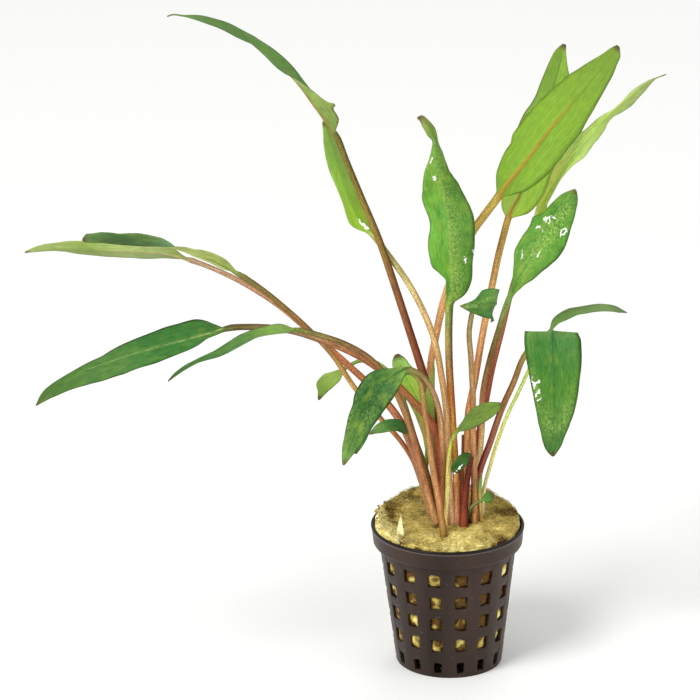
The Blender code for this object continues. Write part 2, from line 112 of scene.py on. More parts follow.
# The net pot: one thin injection moulding of brown-black plastic, 15 columns of 5 square slots in a wall that
# tapers down to a slotted floor, with a shoulder and a flared plain rim. Its slots have soft uneven corners.
POT_WALL = 1.2
POT_FOOT_RADIUS = 18.0
POT_TOP_RADIUS, POT_TOP = 23.15, 42.0
POT_COLUMNS = 15
POT_COLUMN_TURN = math.radians(11)
POT_LEAN = 0.0165  # the pot has set a little askew: each millimetre up lies this much further to the left
POT_LEAN_LEVEL = 29  # the height at which the leaning pot is in place
CELL_STEPS = 6  # points along each side of a slot's cell
POT_SIDES = POT_COLUMNS * CELL_STEPS
HOLE_ANGLE = math.radians(11)
HOLE_HEIGHT = 4.6
HOLE_PITCH = 8.3
HOLE_ROWS = 5
LOWEST_HOLE = 1.6
LOWEST_ROW = (1.5, 5.5, math.radians(8))  # the slots of the lowest row are smaller: from, to and how wide
OUTER_FOOT, INNER_FOOT = 0.4, 1.3  # the heights where the wall's outside and inside go over into the foot
# Radius and height, out over the shoulder, up the rim, round its lip and down inside to the wall again.
RIM_PROFILE = (
    (23.17, 42.25), (23.4, 42.5), (24.4, 42.72), (25.0, 42.95), (25.28, 43.4), (25.36, 44.0), (25.5, 45.5),
    (25.62, 46.8), (25.74, 48.0), (25.9, 48.45), (25.98, 48.8), (25.98, 49.15), (25.86, 49.4), (25.62, 49.5),
    (25.3, 49.5), (25.06, 49.38), (24.94, 49.1), (24.8, 48.2), (24.5, 46.0), (24.3, 44.6), (24.1, 44.1),
    (23.5, 43.75), (22.4, 43.4), (21.9, 42.9), (21.75, 42.4),
)
FOOT_PROFILE = ((18.0, 0.18), (17.93, 0.05), (17.78, 0.0), (17.0, 0.0))
FOOT_INSIDE = ((16.7, 1.22), (16.4, 1.2))
FLOOR_HOLE_RADII = (8.5, 13.5)
FLOOR_CELL_RADII = (6.5, 16.0)
FLOOR_MIDDLE_RADIUS = 2.0
# How far each ring of a slot's edge stands off the slot, and how deep it lies in the wall.
SLOT_EDGE = (
    (0.4, 0.0), (0.12, 0.03), (0.02, 0.14), (0.0, 0.32), (0.0, 0.9), (0.03, 1.08), (0.14, 1.18), (0.4, 1.2),
)
SLOT_RECESS = 0.3  # how far the bars between the slots of a column lie behind the ribs
SLOT_UNEVEN = 0.34
SLOT_DRIFT, SLOT_SLANT = 0.3, 0.16  # how far a slot may sit off its place, and how crooked it may be
SLOT_RADIUS = 20  # turns the slots' millimetres into angles
WELD = 0.002  # points of two cells that lie closer together than this become one
LIP_LIGHT_HEIGHTS = (47.5, 49.5)  # the heights between which the lip gets its painted highlight line and, over its top, painted black shade


class Skin:
    """A material with a Principled shader, and short words for the nodes that feed it.

    A value is a number or a colour, which is set, or another node's output, which is linked.
    """

    def __init__(self, name):
        self.material = bpy.data.materials.new(name)
        self.material.use_nodes = True
        self.tree = self.material.node_tree

    def feed(self, node, values):
        """Sets or links each of the node's sockets that has a value here."""
        for socket, value in values.items():
            if isinstance(value, bpy.types.NodeSocket):
                self.tree.links.new(value, node.inputs[socket])
            else:
                node.inputs[socket].default_value = value

    def node(self, kind, values, output=0, **settings):
        made = self.tree.nodes.new("ShaderNode" + kind)
        for key, value in settings.items():
            setattr(made, key, value)
        self.feed(made, values)
        return made.outputs[output]

    def painted(self, name, output):
        return self.node("Attribute", {}, output, attribute_name=name)

    def part(self, vector, axis):
        return self.node("SeparateXYZ", {"Vector": vector}, axis)

    def maths(self, operation, *values):
        return self.node("Math", dict(enumerate(values)), operation=operation)

    def between(self, value, low, high, to_low=0, to_high=1, clamp=True):
        """The value carried over from the range low to high to the range to_low to to_high."""
        ends = {"Value": value, "From Min": low, "From Max": high, "To Min": to_low, "To Max": to_high}
        return self.node("MapRange", ends, "Result", clamp=clamp)

    def noise(self, place, scale, detail, squeeze=None, roughness=0.5):
        if squeeze:
            place = self.node("Mapping", {"Vector": place, "Scale": squeeze}, "Vector")
        values = {"Vector": place, "Scale": scale, "Detail": detail, "Roughness": roughness}
        return self.node("TexNoise", values, "Fac")

    def scaled(self, colour, factor):
        return self.node("VectorMath", {"Vector": colour, "Scale": factor}, "Vector", operation="SCALE")

    def mixed(self, colour, other, factor):
        return self.node("Mix", {"A": colour, "B": other, "Factor": factor}, "Result", data_type="RGBA")

    def ramp(self, value, first, *others, last):
        """The colour and the cover along a value. Each stop is a place and a colour."""
        made = self.tree.nodes.new("ShaderNodeValToRGB")
        self.feed(made, {"Fac": value})
        elements = made.color_ramp.elements
        for element, (place, colour) in zip(elements, (first, last)):
            element.position, element.color = place, colour
        for place, colour in others:
            elements.new(place).color = colour
        return made.outputs["Color"], made.outputs["Alpha"]

    def finish(self, colour, roughness, shine, height, strength, deep):
        """The finished material. Its relief has a height, a strength and how many metres deep it is."""
        relief = self.node("Bump", {"Height": height, "Strength": strength, "Distance": deep}, "Normal")
        values = {"Base Color": colour, "Roughness": roughness, "Specular IOR Level": shine, "Normal": relief}
        self.feed(self.tree.nodes["Principled BSDF"], values)
        return self.material


def add_piece(name, points, faces, skin, nodes, slot):
    """One object from points in millimetres, which rides on the root and stands for the CAD nodes named."""
    mesh = bpy.data.meshes.new(name)
    mesh.from_pydata([tuple(MM * value for value in point) for point in points], [], faces)
    mesh.materials.append(skin)
    mesh.shade_smooth()
    piece = bpy.data.objects.new(name, mesh)
    bpy.context.scene.collection.objects.link(piece)
    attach(piece, "root")
    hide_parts(*nodes)
    return piece


def join_rings(points, faces, count, start=0, capped=False):
    """Faces from each ring of count points to the next, from point start to the last, and over both ends."""
    for low in range(start, len(points) - count, count):
        for k in range(count):
            after = (k + 1) % count
            faces.append((low + k, low + after, low + count + after, low + count + k))
    if capped:
        faces.append(tuple(range(start, start + count))[::-1])
        faces.append(tuple(range(len(points) - count, len(points))))


def around(radius, z, turn):
    """A point of the pot or the plug: a turn of 0 is at the front, and a quarter turn is on the right."""
    return (radius * math.sin(turn), -radius * math.cos(turn), z)


def around_pot(radius, z, turn):
    x, y, _ = around(radius, z, turn)
    return (x + POT_LEAN * (POT_LEAN_LEVEL - z), y, z)


def pot_wall_point(turn, z, depth):
    radius = np.interp(z, [0, POT_TOP], [POT_FOOT_RADIUS, POT_TOP_RADIUS])
    return around_pot(radius - depth, z, turn)


def pot_floor_point(turn, radius, depth):
    return around_pot(radius, depth, turn)


def slotted_cell(points, faces, place, turn, borders, hole, seed, recessed, hole_angle=HOLE_ANGLE):
    """One slot with the wall round it. borders are the cell's outer and inner limits along the wall."""
    steps = [2 * k / CELL_STEPS - 1 for k in range(CELL_STEPS)]
    square = [(u, -1.0) for u in steps] + [(1.0, v) for v in steps] + [(-u, 1.0) for u in steps]
    square += [(-1.0, -v) for v in steps]
    start = len(points)
    middle, half = (hole[0] + hole[1]) / 2, (hole[1] - hole[0]) / 2
    power = 15 + 9 * noise.noise(Vector((seed, 0.3, 0)))
    drift = [SLOT_DRIFT * noise.noise(Vector((seed, k, 0.5))) for k in (1.3, 2.3)]
    slant = [SLOT_SLANT * noise.noise(Vector((seed, k, 4.5))) for k in (1.3, 2.3)]

    def add_border(low, high, depth):
        for u, v in square:
            along = (low + high) / 2 + v * (high - low) / 2
            points.append(place(turn + u * math.pi / POT_COLUMNS, along, depth))

    add_border(*borders[0], 0.0)
    for margin, depth in SLOT_EDGE:
        for u, v in square:
            soft = (abs(u) ** power + abs(v) ** power) ** (-1 / power)
            rough = SLOT_UNEVEN * noise.noise(Vector((seed * 3.1, 2.2 * u, 2.2 * v)))
            wide = hole_angle / 2 + (margin + rough) / SLOT_RADIUS
            across = soft * (u + slant[0] * v) * wide + drift[0] / SLOT_RADIUS
            along = middle + soft * (v + slant[1] * u) * (half + margin + rough) + drift[1]
            bar = SLOT_RECESS * (1 - abs(u) ** 4) * (abs(v) > 0.7) if recessed and depth < POT_WALL / 2 else 0
            points.append(place(turn + across, along, depth + bar))
    add_border(*borders[1], POT_WALL)
    join_rings(points, faces, len(square), start)


def pot_profile(points, faces, profile):
    """A wall turned round the pot's axis, whose profile is given as radii and heights."""
    turns = [POT_COLUMN_TURN + 2 * math.pi * (k / CELL_STEPS - 0.5) / POT_COLUMNS for k in range(POT_SIDES)]
    start = len(points)
    for radius, z in profile:
        points.extend(around_pot(radius, z, turn) for turn in turns)
    join_rings(points, faces, POT_SIDES, start)


def moulded_net_pot():
    points, faces = [], []
    for column in range(POT_COLUMNS):
        turn = POT_COLUMN_TURN + 2 * math.pi * column / POT_COLUMNS
        half_bar = (HOLE_PITCH - HOLE_HEIGHT) / 2
        for row in range(HOLE_ROWS):
            hole = (LOWEST_HOLE + row * HOLE_PITCH, LOWEST_HOLE + row * HOLE_PITCH + HOLE_HEIGHT)
            hole_angle = HOLE_ANGLE
            low, high = hole[0] - half_bar, hole[1] + half_bar
            outer, inner = [low, high], [low, high]
            if row == 0:
                outer[0], inner[0] = OUTER_FOOT, INNER_FOOT
                hole, hole_angle = LOWEST_ROW[:2], LOWEST_ROW[2]
            if row == HOLE_ROWS - 1:
                outer[1] = inner[1] = POT_TOP
            seed = 7.3 * column + 1.7 * row
            slotted_cell(points, faces, pot_wall_point, turn, (outer, inner), hole, seed, True, hole_angle)
        borders = (FLOOR_CELL_RADII, FLOOR_CELL_RADII)
        slotted_cell(points, faces, pot_floor_point, turn, borders, FLOOR_HOLE_RADII, column, False)
    slope = (POT_TOP_RADIUS - POT_FOOT_RADIUS) / POT_TOP
    outer_top, inner_top = (POT_TOP_RADIUS, POT_TOP), (POT_TOP_RADIUS - POT_WALL, POT_TOP)
    outer_foot = (POT_FOOT_RADIUS + OUTER_FOOT * slope, OUTER_FOOT)
    inner_foot = (POT_FOOT_RADIUS + INNER_FOOT * slope - POT_WALL, INNER_FOOT)
    pot_profile(points, faces, (outer_top, *RIM_PROFILE, inner_top))
    pot_profile(points, faces, (outer_foot, *FOOT_PROFILE, (FLOOR_CELL_RADII[1], 0.0)))
    pot_profile(points, faces, (inner_foot, *FOOT_INSIDE, (FLOOR_CELL_RADII[1], POT_WALL)))
    for z in (0.0, POT_WALL):
        pot_profile(points, faces, ((FLOOR_CELL_RADII[0], z), (FLOOR_MIDDLE_RADIUS, z)))
        middle = len(points)
        points.append(around_pot(0, z, 0))
        first = middle - POT_SIDES
        faces.extend((first + k, first + (k + 1) % POT_SIDES, middle) for k in range(POT_SIDES))
    return points, faces


def pot_plastic():
    """Low-gloss plastic, flow-marked and scuffed paler, its lip painted black as shade over a painted
    highlight.
    """
    skin = Skin("brown_black_plastic")
    place = skin.node("TexCoord", {}, "Object")
    flow = skin.noise(place, 60, 6, (1, 1, 0.25))
    tone, _ = skin.ramp(flow, (0.3, from_screen(29, 18, 14)), last=(0.75, from_screen(70, 51, 42)))
    scuffs = skin.noise(place, 420, 3, (1, 1, 3))
    scuffed = skin.mixed(tone, from_screen(140, 128, 118), skin.between(scuffs, 0.69, 0.76, 0, 0.4))
    # Painted light on the lip: a pale highlight line, and painted black shade over its top.
    lip = skin.between(skin.part(place, "Z"), LIP_LIGHT_HEIGHTS[0] * MM, LIP_LIGHT_HEIGHTS[1] * MM)
    lip_light, cover = skin.ramp(
        lip, (0.0, from_screen(0, 0, 0, 0)), (0.3, from_screen(96, 84, 80, 0)),
        (0.45, from_screen(128, 116, 112, 0.7)), (0.56, from_screen(96, 84, 80, 0.2)),
        (0.62, from_screen(12, 9, 8, 0.9)), last=(1.0, from_screen(12, 9, 8, 0.9)),
    )
    colour = skin.mixed(scuffed, lip_light, cover)
    return skin.finish(colour, skin.between(flow, 0, 1, 0.3, 0.5), 0.24, scuffs, 0.25, 0.0002)


net_pot = add_piece("moulded_net_pot", *moulded_net_pot(), pot_plastic(), ["net_pot"], "pot_plastic")
joined = bmesh.new()
joined.from_mesh(net_pot.data)
bmesh.ops.remove_doubles(joined, verts=joined.verts, dist=WELD * MM)
bmesh.ops.recalc_face_normals(joined, faces=joined.faces)
joined.to_mesh(net_pot.data)
joined.free()
net_pot.data.shade_smooth()

# The rock wool: a plug of spun mineral fibre pressed into the pot round the stalks, olive-yellow, painted
# brown as shade in its hollows, with pale torn flakes at its left edge and bright tufts along its front edge.
WOOL_SIDE = ((17.6, 8.0), (19.3, 22.0), (20.8, 34.0), (21.7, 42.0), (23.6, 46.0), (24.3, 49.3))
WOOL_INSET = 0.25
WOOL_BULGE = 0.8  # how far the wool swells out into each slot of the pot
WOOL_MIDDLE = 51.6
WOOL_BACK_RISE = 2.4
WOOL_EDGE_FALL = 1.6
WOOL_BACK_EDGE = 0.5
WOOL_RADIUS = 24.0
WOOL_TURNS = 240
WOOL_SIDE_LEVELS = 56
WOOL_TOP_RINGS = 46
WOOL_BREAK_LEVELS = 9  # steps up the broken edge between the pot's rim and the top
SLOT_SHARES = (0.24, 0.28)  # half a slot, as a share of its column and of its row
WOOL_LUMPS = ((5.0, 0.55), (1.9, 0.34), (0.8, 0.2))  # the width and the height of each size of lump
TORN_TURN = -1.25  # the direction of the torn edge's middle
TORN_RADIUS, TORN_RISE, TORN_SPILL = 23.5, 1.3, 0.95
SPILL_LEVEL, TUFT_LEVEL, MARK_LEVEL = 44, 45, 46  # above these heights the wool spills, is torn and marked
# Seen through the slots the wool is bright in some and brown in others, partly its own tone and partly
# painted
# light and shade: degrees round, height and tone.
WOOL_SLOT_SHADE_AND_TONE = (
    (-64, 20, -0.9), (-62, 29, -0.4), (-62, 37, -0.2), (-42, 37, -0.9), (-35, 37, 0.2), (-42, 29, -0.8),
    (-35, 29, 0.2), (-36, 20, 0.1), (-37, 12, 0.3), (-13, 37, -0.5), (-13, 29, -0.2), (-13, 20, -0.1),
    (-13, 12, 0.2), (11, 37, -0.8), (11, 29, -1.3), (11, 20, -0.8), (11, 13.5, 0.4), (11, 9.5, -1.2),
    (35, 37, -1.2), (35, 29, -1.3), (35, 20, -0.8), (35, 12, 0.2), (59, 37, 0.5), (56, 29, 0.3),
    (63, 29, -1.2), (59, 20, 0.4), (59, 12, 0.2),
)
# Patches of the top: brown ones are painted shade in its hollows, inside the torn left edge and at the
# stalks' feet, bright ones are pale tufts and torn wool. Where they are, how far they spread and how strong
# they are.
WOOL_TOP_SHADE_AND_TONE = (
    (-19.5, 9.0, 4.5, -0.36), (-13.0, 18.0, 4.0, -0.3), (18.0, 2.5, 4.0, -0.4), (21.5, 6.0, 3.2, -0.34),
    (-4.0, -8.2, 1.4, -1.2), (7.4, -5.0, 1.2, -1.2), (4.0, -21.0, 6.0, 0.4), (-8.0, -16.0, 5.0, 0.2),
    (8.0, -12.0, 4.0, 0.15), (-23.4, 4.5, 2.2, 0.7), (-23.6, 1.0, 2.2, 0.8), (-23.2, -3.0, 2.3, 0.8),
    (-22.2, -7.0, 2.3, 0.8), (-20.2, -11.5, 2.3, 0.7), (-17.5, -15.0, 2.2, 0.5), (-20.4, 5.0, 1.9, -0.5),
    (-19.6, 1.0, 1.8, -0.5), (-18.8, -4.0, 1.8, -0.45), (-17.2, -8.5, 1.8, -0.3), (17.5, -15.5, 2.5, -0.4),
    (0.0, 3.0, 4.0, 0.1),
)
OLIVE, STRAW, BARK = from_screen(204, 180, 92), from_screen(248, 232, 146), from_screen(100, 72, 32)
CREAM = from_screen(255, 242, 172)
FIBRE_COUNT = 5200
TORN_COUNT = 520
EDGE_SHARE = 0.15  # how many of the fibres are moved to the edge
FIBRE_STEPS = 4
FIBRE_SEED = 11
FLAKE_COLUMNS, FLAKE_ROWS = 11, 9
FLAKE_HALF_THICK = 0.16
FLAKE_SUNK = 1.4  # how far a flake's lower edge lies in the wool
TUFT_COUNT = 34
TUFT_REACH = 25.2  # the radius that a tuft's top leans out to
# The tall splinter at the front, evenly pale, and the torn wool at its foot, placed as the tufts below are.
SPLINTER_LEAST, SPLINTER_TONE = 5, 0.35
SPLINTERS = [(-16.4, -15.6, 3.4, 8.4, -0.45, -0.02, 0.92), (-15.0, -17.0, 2.6, 2.0, -0.6, 0.2, 0.6)]


def held(value):
    """The value, held between 0 and 1."""
    return min(1, max(0, value))


def hill(across, along=0):
    """1 at the middle of a soft round hill, and less the further it is away in either direction."""
    return math.exp(-across * across - along * along)


def wool_top(x, y):
    """The height of the wool's surface before its lumps: higher at the back, falling off at the front."""
    back = WOOL_BACK_RISE * (max(y, 0) / 20) ** 2
    fall = WOOL_EDGE_FALL + (WOOL_BACK_EDGE - WOOL_EDGE_FALL) * held((y + 8) / 12)
    out = math.hypot(x, y)
    torn = TORN_RISE * hill((out - TORN_RADIUS) / 1.5, (math.atan2(x, -y) - TORN_TURN) / 0.5)
    return WOOL_MIDDLE + back - fall * (out / WOOL_RADIUS) ** 6 + torn


def wool_lump(x, y, z):
    """How far the lumps stand out of the smooth surface here. The front edge is torn into upright tufts."""
    out, turn = math.hypot(x, y), math.atan2(x, -y) * WOOL_RADIUS
    torn = 1 + 1.4 * max(0, -y - 14) / 10 + 1.2 * max(0, -x - 16) / 8
    front = held((out - 19.5) / 2.5) * held((-y - 12) / 5) * (z > TUFT_LEVEL)
    tufts = 0.9 * front * noise.noise(Vector((turn / 1.9, 3.0, out / 5)))
    return torn * sum(height * noise.noise(Vector((x, y, z)) / width) for width, height in WOOL_LUMPS) + tufts


def wool_spill(turn, z):
    """How far the torn left edge of the top spills out, as far as the pot's rim."""
    apart = (turn + math.pi) % (2 * math.pi) - math.pi - TORN_TURN
    return TORN_SPILL * hill(apart / 0.65) * held((z - SPILL_LEVEL) / 4)


def wool_plug():
    """Points, faces and the lump at each point, up the side, up the broken edge and in over the top."""
    turns = [2 * math.pi * k / WOOL_TURNS for k in range(WOOL_TURNS)]
    side_radii, side_heights = zip(*WOOL_SIDE)
    points, lumps = [], []
    for level in range(WOOL_SIDE_LEVELS):
        z = np.interp(level, [0, WOOL_SIDE_LEVELS - 1], [side_heights[0], side_heights[-1]])
        radius = np.interp(z, side_heights, side_radii) - WOOL_INSET
        row = (z - LOWEST_HOLE - HOLE_HEIGHT / 2) / HOLE_PITCH
        for turn in turns:
            lump = wool_lump(*around(radius, z, turn))
            column = (turn - POT_COLUMN_TURN) / (2 * math.pi / POT_COLUMNS)
            bulge = 0
            if row < HOLE_ROWS - 0.5:
                off = [abs(place - round(place)) / share for place, share in zip((column, row), SLOT_SHARES)]
                bulge = WOOL_BULGE * max(0, 1 - off[0] ** 8) * max(0, 1 - off[1] ** 8)
            points.append(around(radius + 0.8 * min(lump, 0.2) + bulge + wool_spill(turn, z), z, turn))
            shade = 0
            for degrees, height, tone in WOOL_SLOT_SHADE_AND_TONE:
                apart = (math.degrees(turn) - degrees + 180) % 360 - 180
                shade += tone * hill(apart / 5, (z - height) / 2.6)
            # The side is painted a little darker all over, as shade inside the pot, and painted lighter or
            # darker at the slots.
            lumps.append(lump - 0.3 + 1.7 * shade + 1.3 * noise.noise(Vector(around(radius, z, turn)) / 2.2))
    for step in range(1, WOOL_BREAK_LEVELS):
        for turn in turns:
            radius = WOOL_RADIUS - 0.1 + wool_spill(turn, 50)
            x, y, _ = around(radius, 0, turn)
            top = wool_top(x, y)
            z = side_heights[-1] + (top + wool_lump(x, y, top) - side_heights[-1]) * step / WOOL_BREAK_LEVELS
            lump = wool_lump(x, y, z)
            points.append(around(radius + 0.9 * min(lump, 0.25), z, turn))
            lumps.append(lump)
    for ring in range(WOOL_TOP_RINGS):
        radius = (WOOL_RADIUS - 0.2) * (1 - ring / WOOL_TOP_RINGS)
        for turn in turns:
            x, y, _ = around(radius + wool_spill(turn, 50) * (radius / WOOL_RADIUS) ** 8, 0, turn)
            z = wool_top(x, y)
            lump = wool_lump(x, y, z)
            points.append((x, y, z + lump))
            lumps.append(lump)
    faces = []
    join_rings(points, faces, WOOL_TURNS, capped=True)
    return points, faces, lumps


def wool_skin(name, hollow, middle, high, tuft):
    """Matt fibre, its colours from the brown of painted shade to pale tufts, broken up by clumps and single
    fibres.
    """
    skin = Skin(name)
    place = skin.node("TexCoord", {}, "Object")
    clumps = skin.maths("ADD", skin.painted("lump", "Fac"), skin.noise(place, 260, 8, roughness=0.65))
    spread = skin.between(clumps, 0, 1, 0, 1 / 1.4, clamp=False)
    tone, _ = skin.ramp(spread, (0.16, hollow), (0.36, middle), (0.61, high), last=(1.0, tuft))
    strands = skin.noise(place, 1500, 4)
    toned = skin.scaled(tone, skin.between(strands, 0.3, 0.7, 0.62, 1.3))
    return skin.finish(toned, 0.95, 0.15, strands, 0.7, 0.0003)


def keep_values(piece, name, values, kind="FLOAT", field="value"):
    """Keeps a number, vector or colour for each point of the mesh, for its material to read."""
    layer = piece.data.attributes.new(name, kind, "POINT")
    layer.data.foreach_set(field, np.array(values, float).ravel())


def strand(points, faces, path, radius):
    """A thin three-sided fibre along a path."""
    start = len(points)
    for k, (here, ahead) in enumerate(zip(path, path[1:] + path[-1:])):
        heading = (Vector(ahead) - Vector(here)) if k < len(path) - 1 else Vector(here) - Vector(path[-2])
        side = heading.normalized().orthogonal().normalized()
        other = heading.normalized().cross(side)
        thin = radius * (1 - 0.6 * k / (len(path) - 1))
        for corner in range(3):
            turn = 2 * math.pi * corner / 3
            points.append(tuple(Vector(here) + thin * (math.cos(turn) * side + math.sin(turn) * other)))
    join_rings(points, faces, 3, start, capped=True)


def wool_fibres(draw):
    """Points, faces and tones of the loose fibres. The last ones stand up along the torn left edge."""
    points, faces, tones = [], [], []
    for count in range(FIBRE_COUNT + TORN_COUNT):
        radius = (WOOL_RADIUS - 0.4) * math.sqrt(draw.random())
        turn = 2 * math.pi * draw.random()
        x, y, _ = around(radius, 0, turn)
        if draw.random() < EDGE_SHARE:
            x, y, _ = around(WOOL_RADIUS - draw.uniform(0.4, 1.6), 0, turn)
        heading = 2 * math.pi * draw.random()
        bend = draw.uniform(-1.2, 1.2)
        length = draw.uniform(1.2, 4.2)
        lift = draw.uniform(0.1, 0.9)
        coarse = count >= FIBRE_COUNT
        if coarse:
            x, y, _ = around(WOOL_RADIUS - draw.uniform(0.3, 2.6), 0, draw.gauss(-1.2, 0.4))
            length, lift = draw.uniform(1.0, 2.6), draw.uniform(0.6, 1.7)
        path = []
        for step in range(FIBRE_STEPS + 1):
            share = step / FIBRE_STEPS
            aim = heading + bend * share
            px, py = x + length * share * math.cos(aim), y + length * share * math.sin(aim)
            out = math.hypot(px, py)
            if out > WOOL_RADIUS - 0.1:
                px, py = px * (WOOL_RADIUS - 0.1) / out, py * (WOOL_RADIUS - 0.1) / out
            z = wool_top(px, py)
            rise = lift * math.sin(math.pi * (0.15 + 0.7 * share)) - 0.05
            path.append((px, py, z + wool_lump(px, py, z) + rise))
        before = len(points)
        strand(points, faces, path, draw.uniform(0.07, 0.13) if coarse else draw.uniform(0.035, 0.07))
        tones += [draw.uniform(-0.1, 0.55)] * (len(points) - before)
    return points, faces, tones


def wool_flake(points, faces, base, width, height, facing, lean, taper, draw):
    """A torn sheet of wool that stands on its lower edge: thin, curved and ragged at the top."""
    out = Vector((math.sin(facing), -math.cos(facing), 0))
    across = Vector((math.cos(facing), math.sin(facing), 0))
    seed = draw.uniform(0, 50)
    start = len(points)
    for side in (-1, 1):
        for row in range(FLAKE_ROWS):
            for column in range(FLAKE_COLUMNS):
                u, v = 2 * column / (FLAKE_COLUMNS - 1) - 1, row / (FLAKE_ROWS - 1)
                narrow = 1 - taper * v**1.2
                uneven = 0.6 * abs(noise.noise(Vector((seed, 1.3 * u, 0))))
                uneven += 0.3 * abs(noise.noise(Vector((seed, 5 * u, 3))))
                ragged = 1 - (1.1 - taper) * uneven - 0.4 * (1 - taper) * u * u
                curl = 0.12 * width * (u * u - 0.4) + lean * v * v * height
                rough = 0.22 * noise.noise(Vector((seed, 3 * u, 4 * v)))
                thick = FLAKE_HALF_THICK * side * (1 - 0.7 * v)
                spot = Vector(base) + across * (u * narrow * width / 2) + out * (curl + rough + thick)
                points.append(tuple(spot + Vector((0, 0, v * ragged * height))))

    def at(face, row, column):
        return start + (face * FLAKE_ROWS + row) * FLAKE_COLUMNS + column

    for row in range(FLAKE_ROWS - 1):
        for column in range(FLAKE_COLUMNS - 1):
            square = ((row, column), (row, column + 1), (row + 1, column + 1), (row + 1, column))
            faces.append([at(0, *corner) for corner in square])
            faces.append([at(1, *corner) for corner in (square[0], *square[:0:-1])])
    last_row, last_column = FLAKE_ROWS - 1, FLAKE_COLUMNS - 1
    rim = [(0, c) for c in range(last_column)] + [(r, last_column) for r in range(last_row)]
    rim += [(last_row, c) for c in range(last_column, 0, -1)] + [(r, 0) for r in range(last_row, 0, -1)]
    for here, after in zip(rim, rim[1:] + rim[:1]):
        faces.append((at(0, *here), at(1, *here), at(1, *after), at(0, *after)))


# The top's patches at a point: painted shade where negative, paler tufts and torn wool where positive.
def top_shade_and_tone(x, y):
    return sum(tone * hill((x - mx) / spread, (y - my) / spread) for mx, my, spread, tone in WOOL_TOP_SHADE_AND_TONE)


plug_points, plug_faces, plug_lumps = wool_plug()
plug_skin = wool_skin("rock_wool_fibre", BARK, OLIVE, STRAW, CREAM)
plug = add_piece("rock_wool_plug", plug_points, plug_faces, plug_skin, ["rock_wool"], "mineral_wool")
plug_marks = [top_shade_and_tone(x, y) if z > MARK_LEVEL else 0 for x, y, z in plug_points]
# The plug's tone follows the height of its lumps, so its hollows are painted darker as shade, and the top's
# patches are added.
keep_values(plug, "lump", [0.5 * lump + mark for lump, mark in zip(plug_lumps, plug_marks)])

wool_draw = random.Random(FIBRE_SEED)
fibre_points, fibre_faces, fibre_tones = wool_fibres(wool_draw)
fibres = add_piece("rock_wool_fibres", fibre_points, fibre_faces, plug_skin, ["rock_wool"], "mineral_wool")
keep_values(fibres, "lump", [tone + top_shade_and_tone(x, y) for (x, y, _), tone in zip(fibre_points, fibre_tones)])

# Where each flake stands on the wool, its width, height, the way it faces, how far its top leans that way
# and how much it tapers. Short torn tufts crowd the left edge and lean out over the rim.
flakes_placed = list(SPLINTERS)
for _ in range(TUFT_COUNT):
    turn, out = wool_draw.uniform(-2.05, -0.7), wool_draw.uniform(21.6, 24.1)
    width, height = wool_draw.uniform(1.4, 3.6), wool_draw.uniform(0.4, 1.5)
    lean = min(0.8, (TUFT_REACH - out) / (height + FLAKE_SUNK))
    facing, taper = turn + wool_draw.uniform(-0.6, 0.6), wool_draw.uniform(0.4, 0.95)
    flakes_placed.append((out * math.sin(turn), -out * math.cos(turn), width, height, facing, lean, taper))
flake_points, flake_faces, flake_tones = [], [], []
for x, y, width, height, facing, lean, taper in flakes_placed:
    before = len(flake_points)
    base = (x, y, wool_top(x, y) - FLAKE_SUNK)
    wool_flake(flake_points, flake_faces, base, width, height + FLAKE_SUNK, facing, lean, taper, wool_draw)
    tone = SPLINTER_TONE if height > SPLINTER_LEAST else wool_draw.uniform(-0.35, 0.45)
    flake_tones += [tone] * (len(flake_points) - before)
flake_colours = from_screen(150, 118, 60), from_screen(226, 204, 124), from_screen(255, 248, 196), CREAM
flake_skin = wool_skin("torn_wool", *flake_colours)
flakes = add_piece("rock_wool_flakes", flake_points, flake_faces, flake_skin, ["rock_wool"], "mineral_wool")
keep_values(flakes, "lump", flake_tones)

# The leaves on the left that reach highest: one long stalk that arches over with its blade edge on, and one
# young yellow-green blade beside it. A leaf is one growth: a round stalk that opens into a thin veined blade.
VIEWER = Vector((0, -math.cos(math.radians(21)), math.sin(math.radians(21))))
RING = 32  # points round a stalk, and over and under a blade
STALK_STEP, BLADE_STEP = 2.2, 0.9  # how far apart the rings lie
BLADE_HALF_THICK = 0.13
TIP_HALF_WIDTH = 0.2
FOOT_SUNK = 2.5  # how far a stalk goes down into the wool
FOOT_RISE = 0.7  # how high above the wool's smooth top its first row lies
LEAF_TONE = 0.9  # the colours below are meant as lit, so the leaf itself is this much darker
GLINT_STRENGTH = 0.7
TIP_BROWN = 1.6  # how many millimetres of a blade's tip are dead
DEAD_BROWN = Vector((88, 66, 40))
STALK_SIDE_LIGHT = Vector((1, 1, 0.6))  # painted light: how the lighter side of a stalk differs from its middle
STALK_FRONT_LIGHT = Vector((36, 40, 26))  # painted light and shade: a stalk's middle this much paler than its flanks


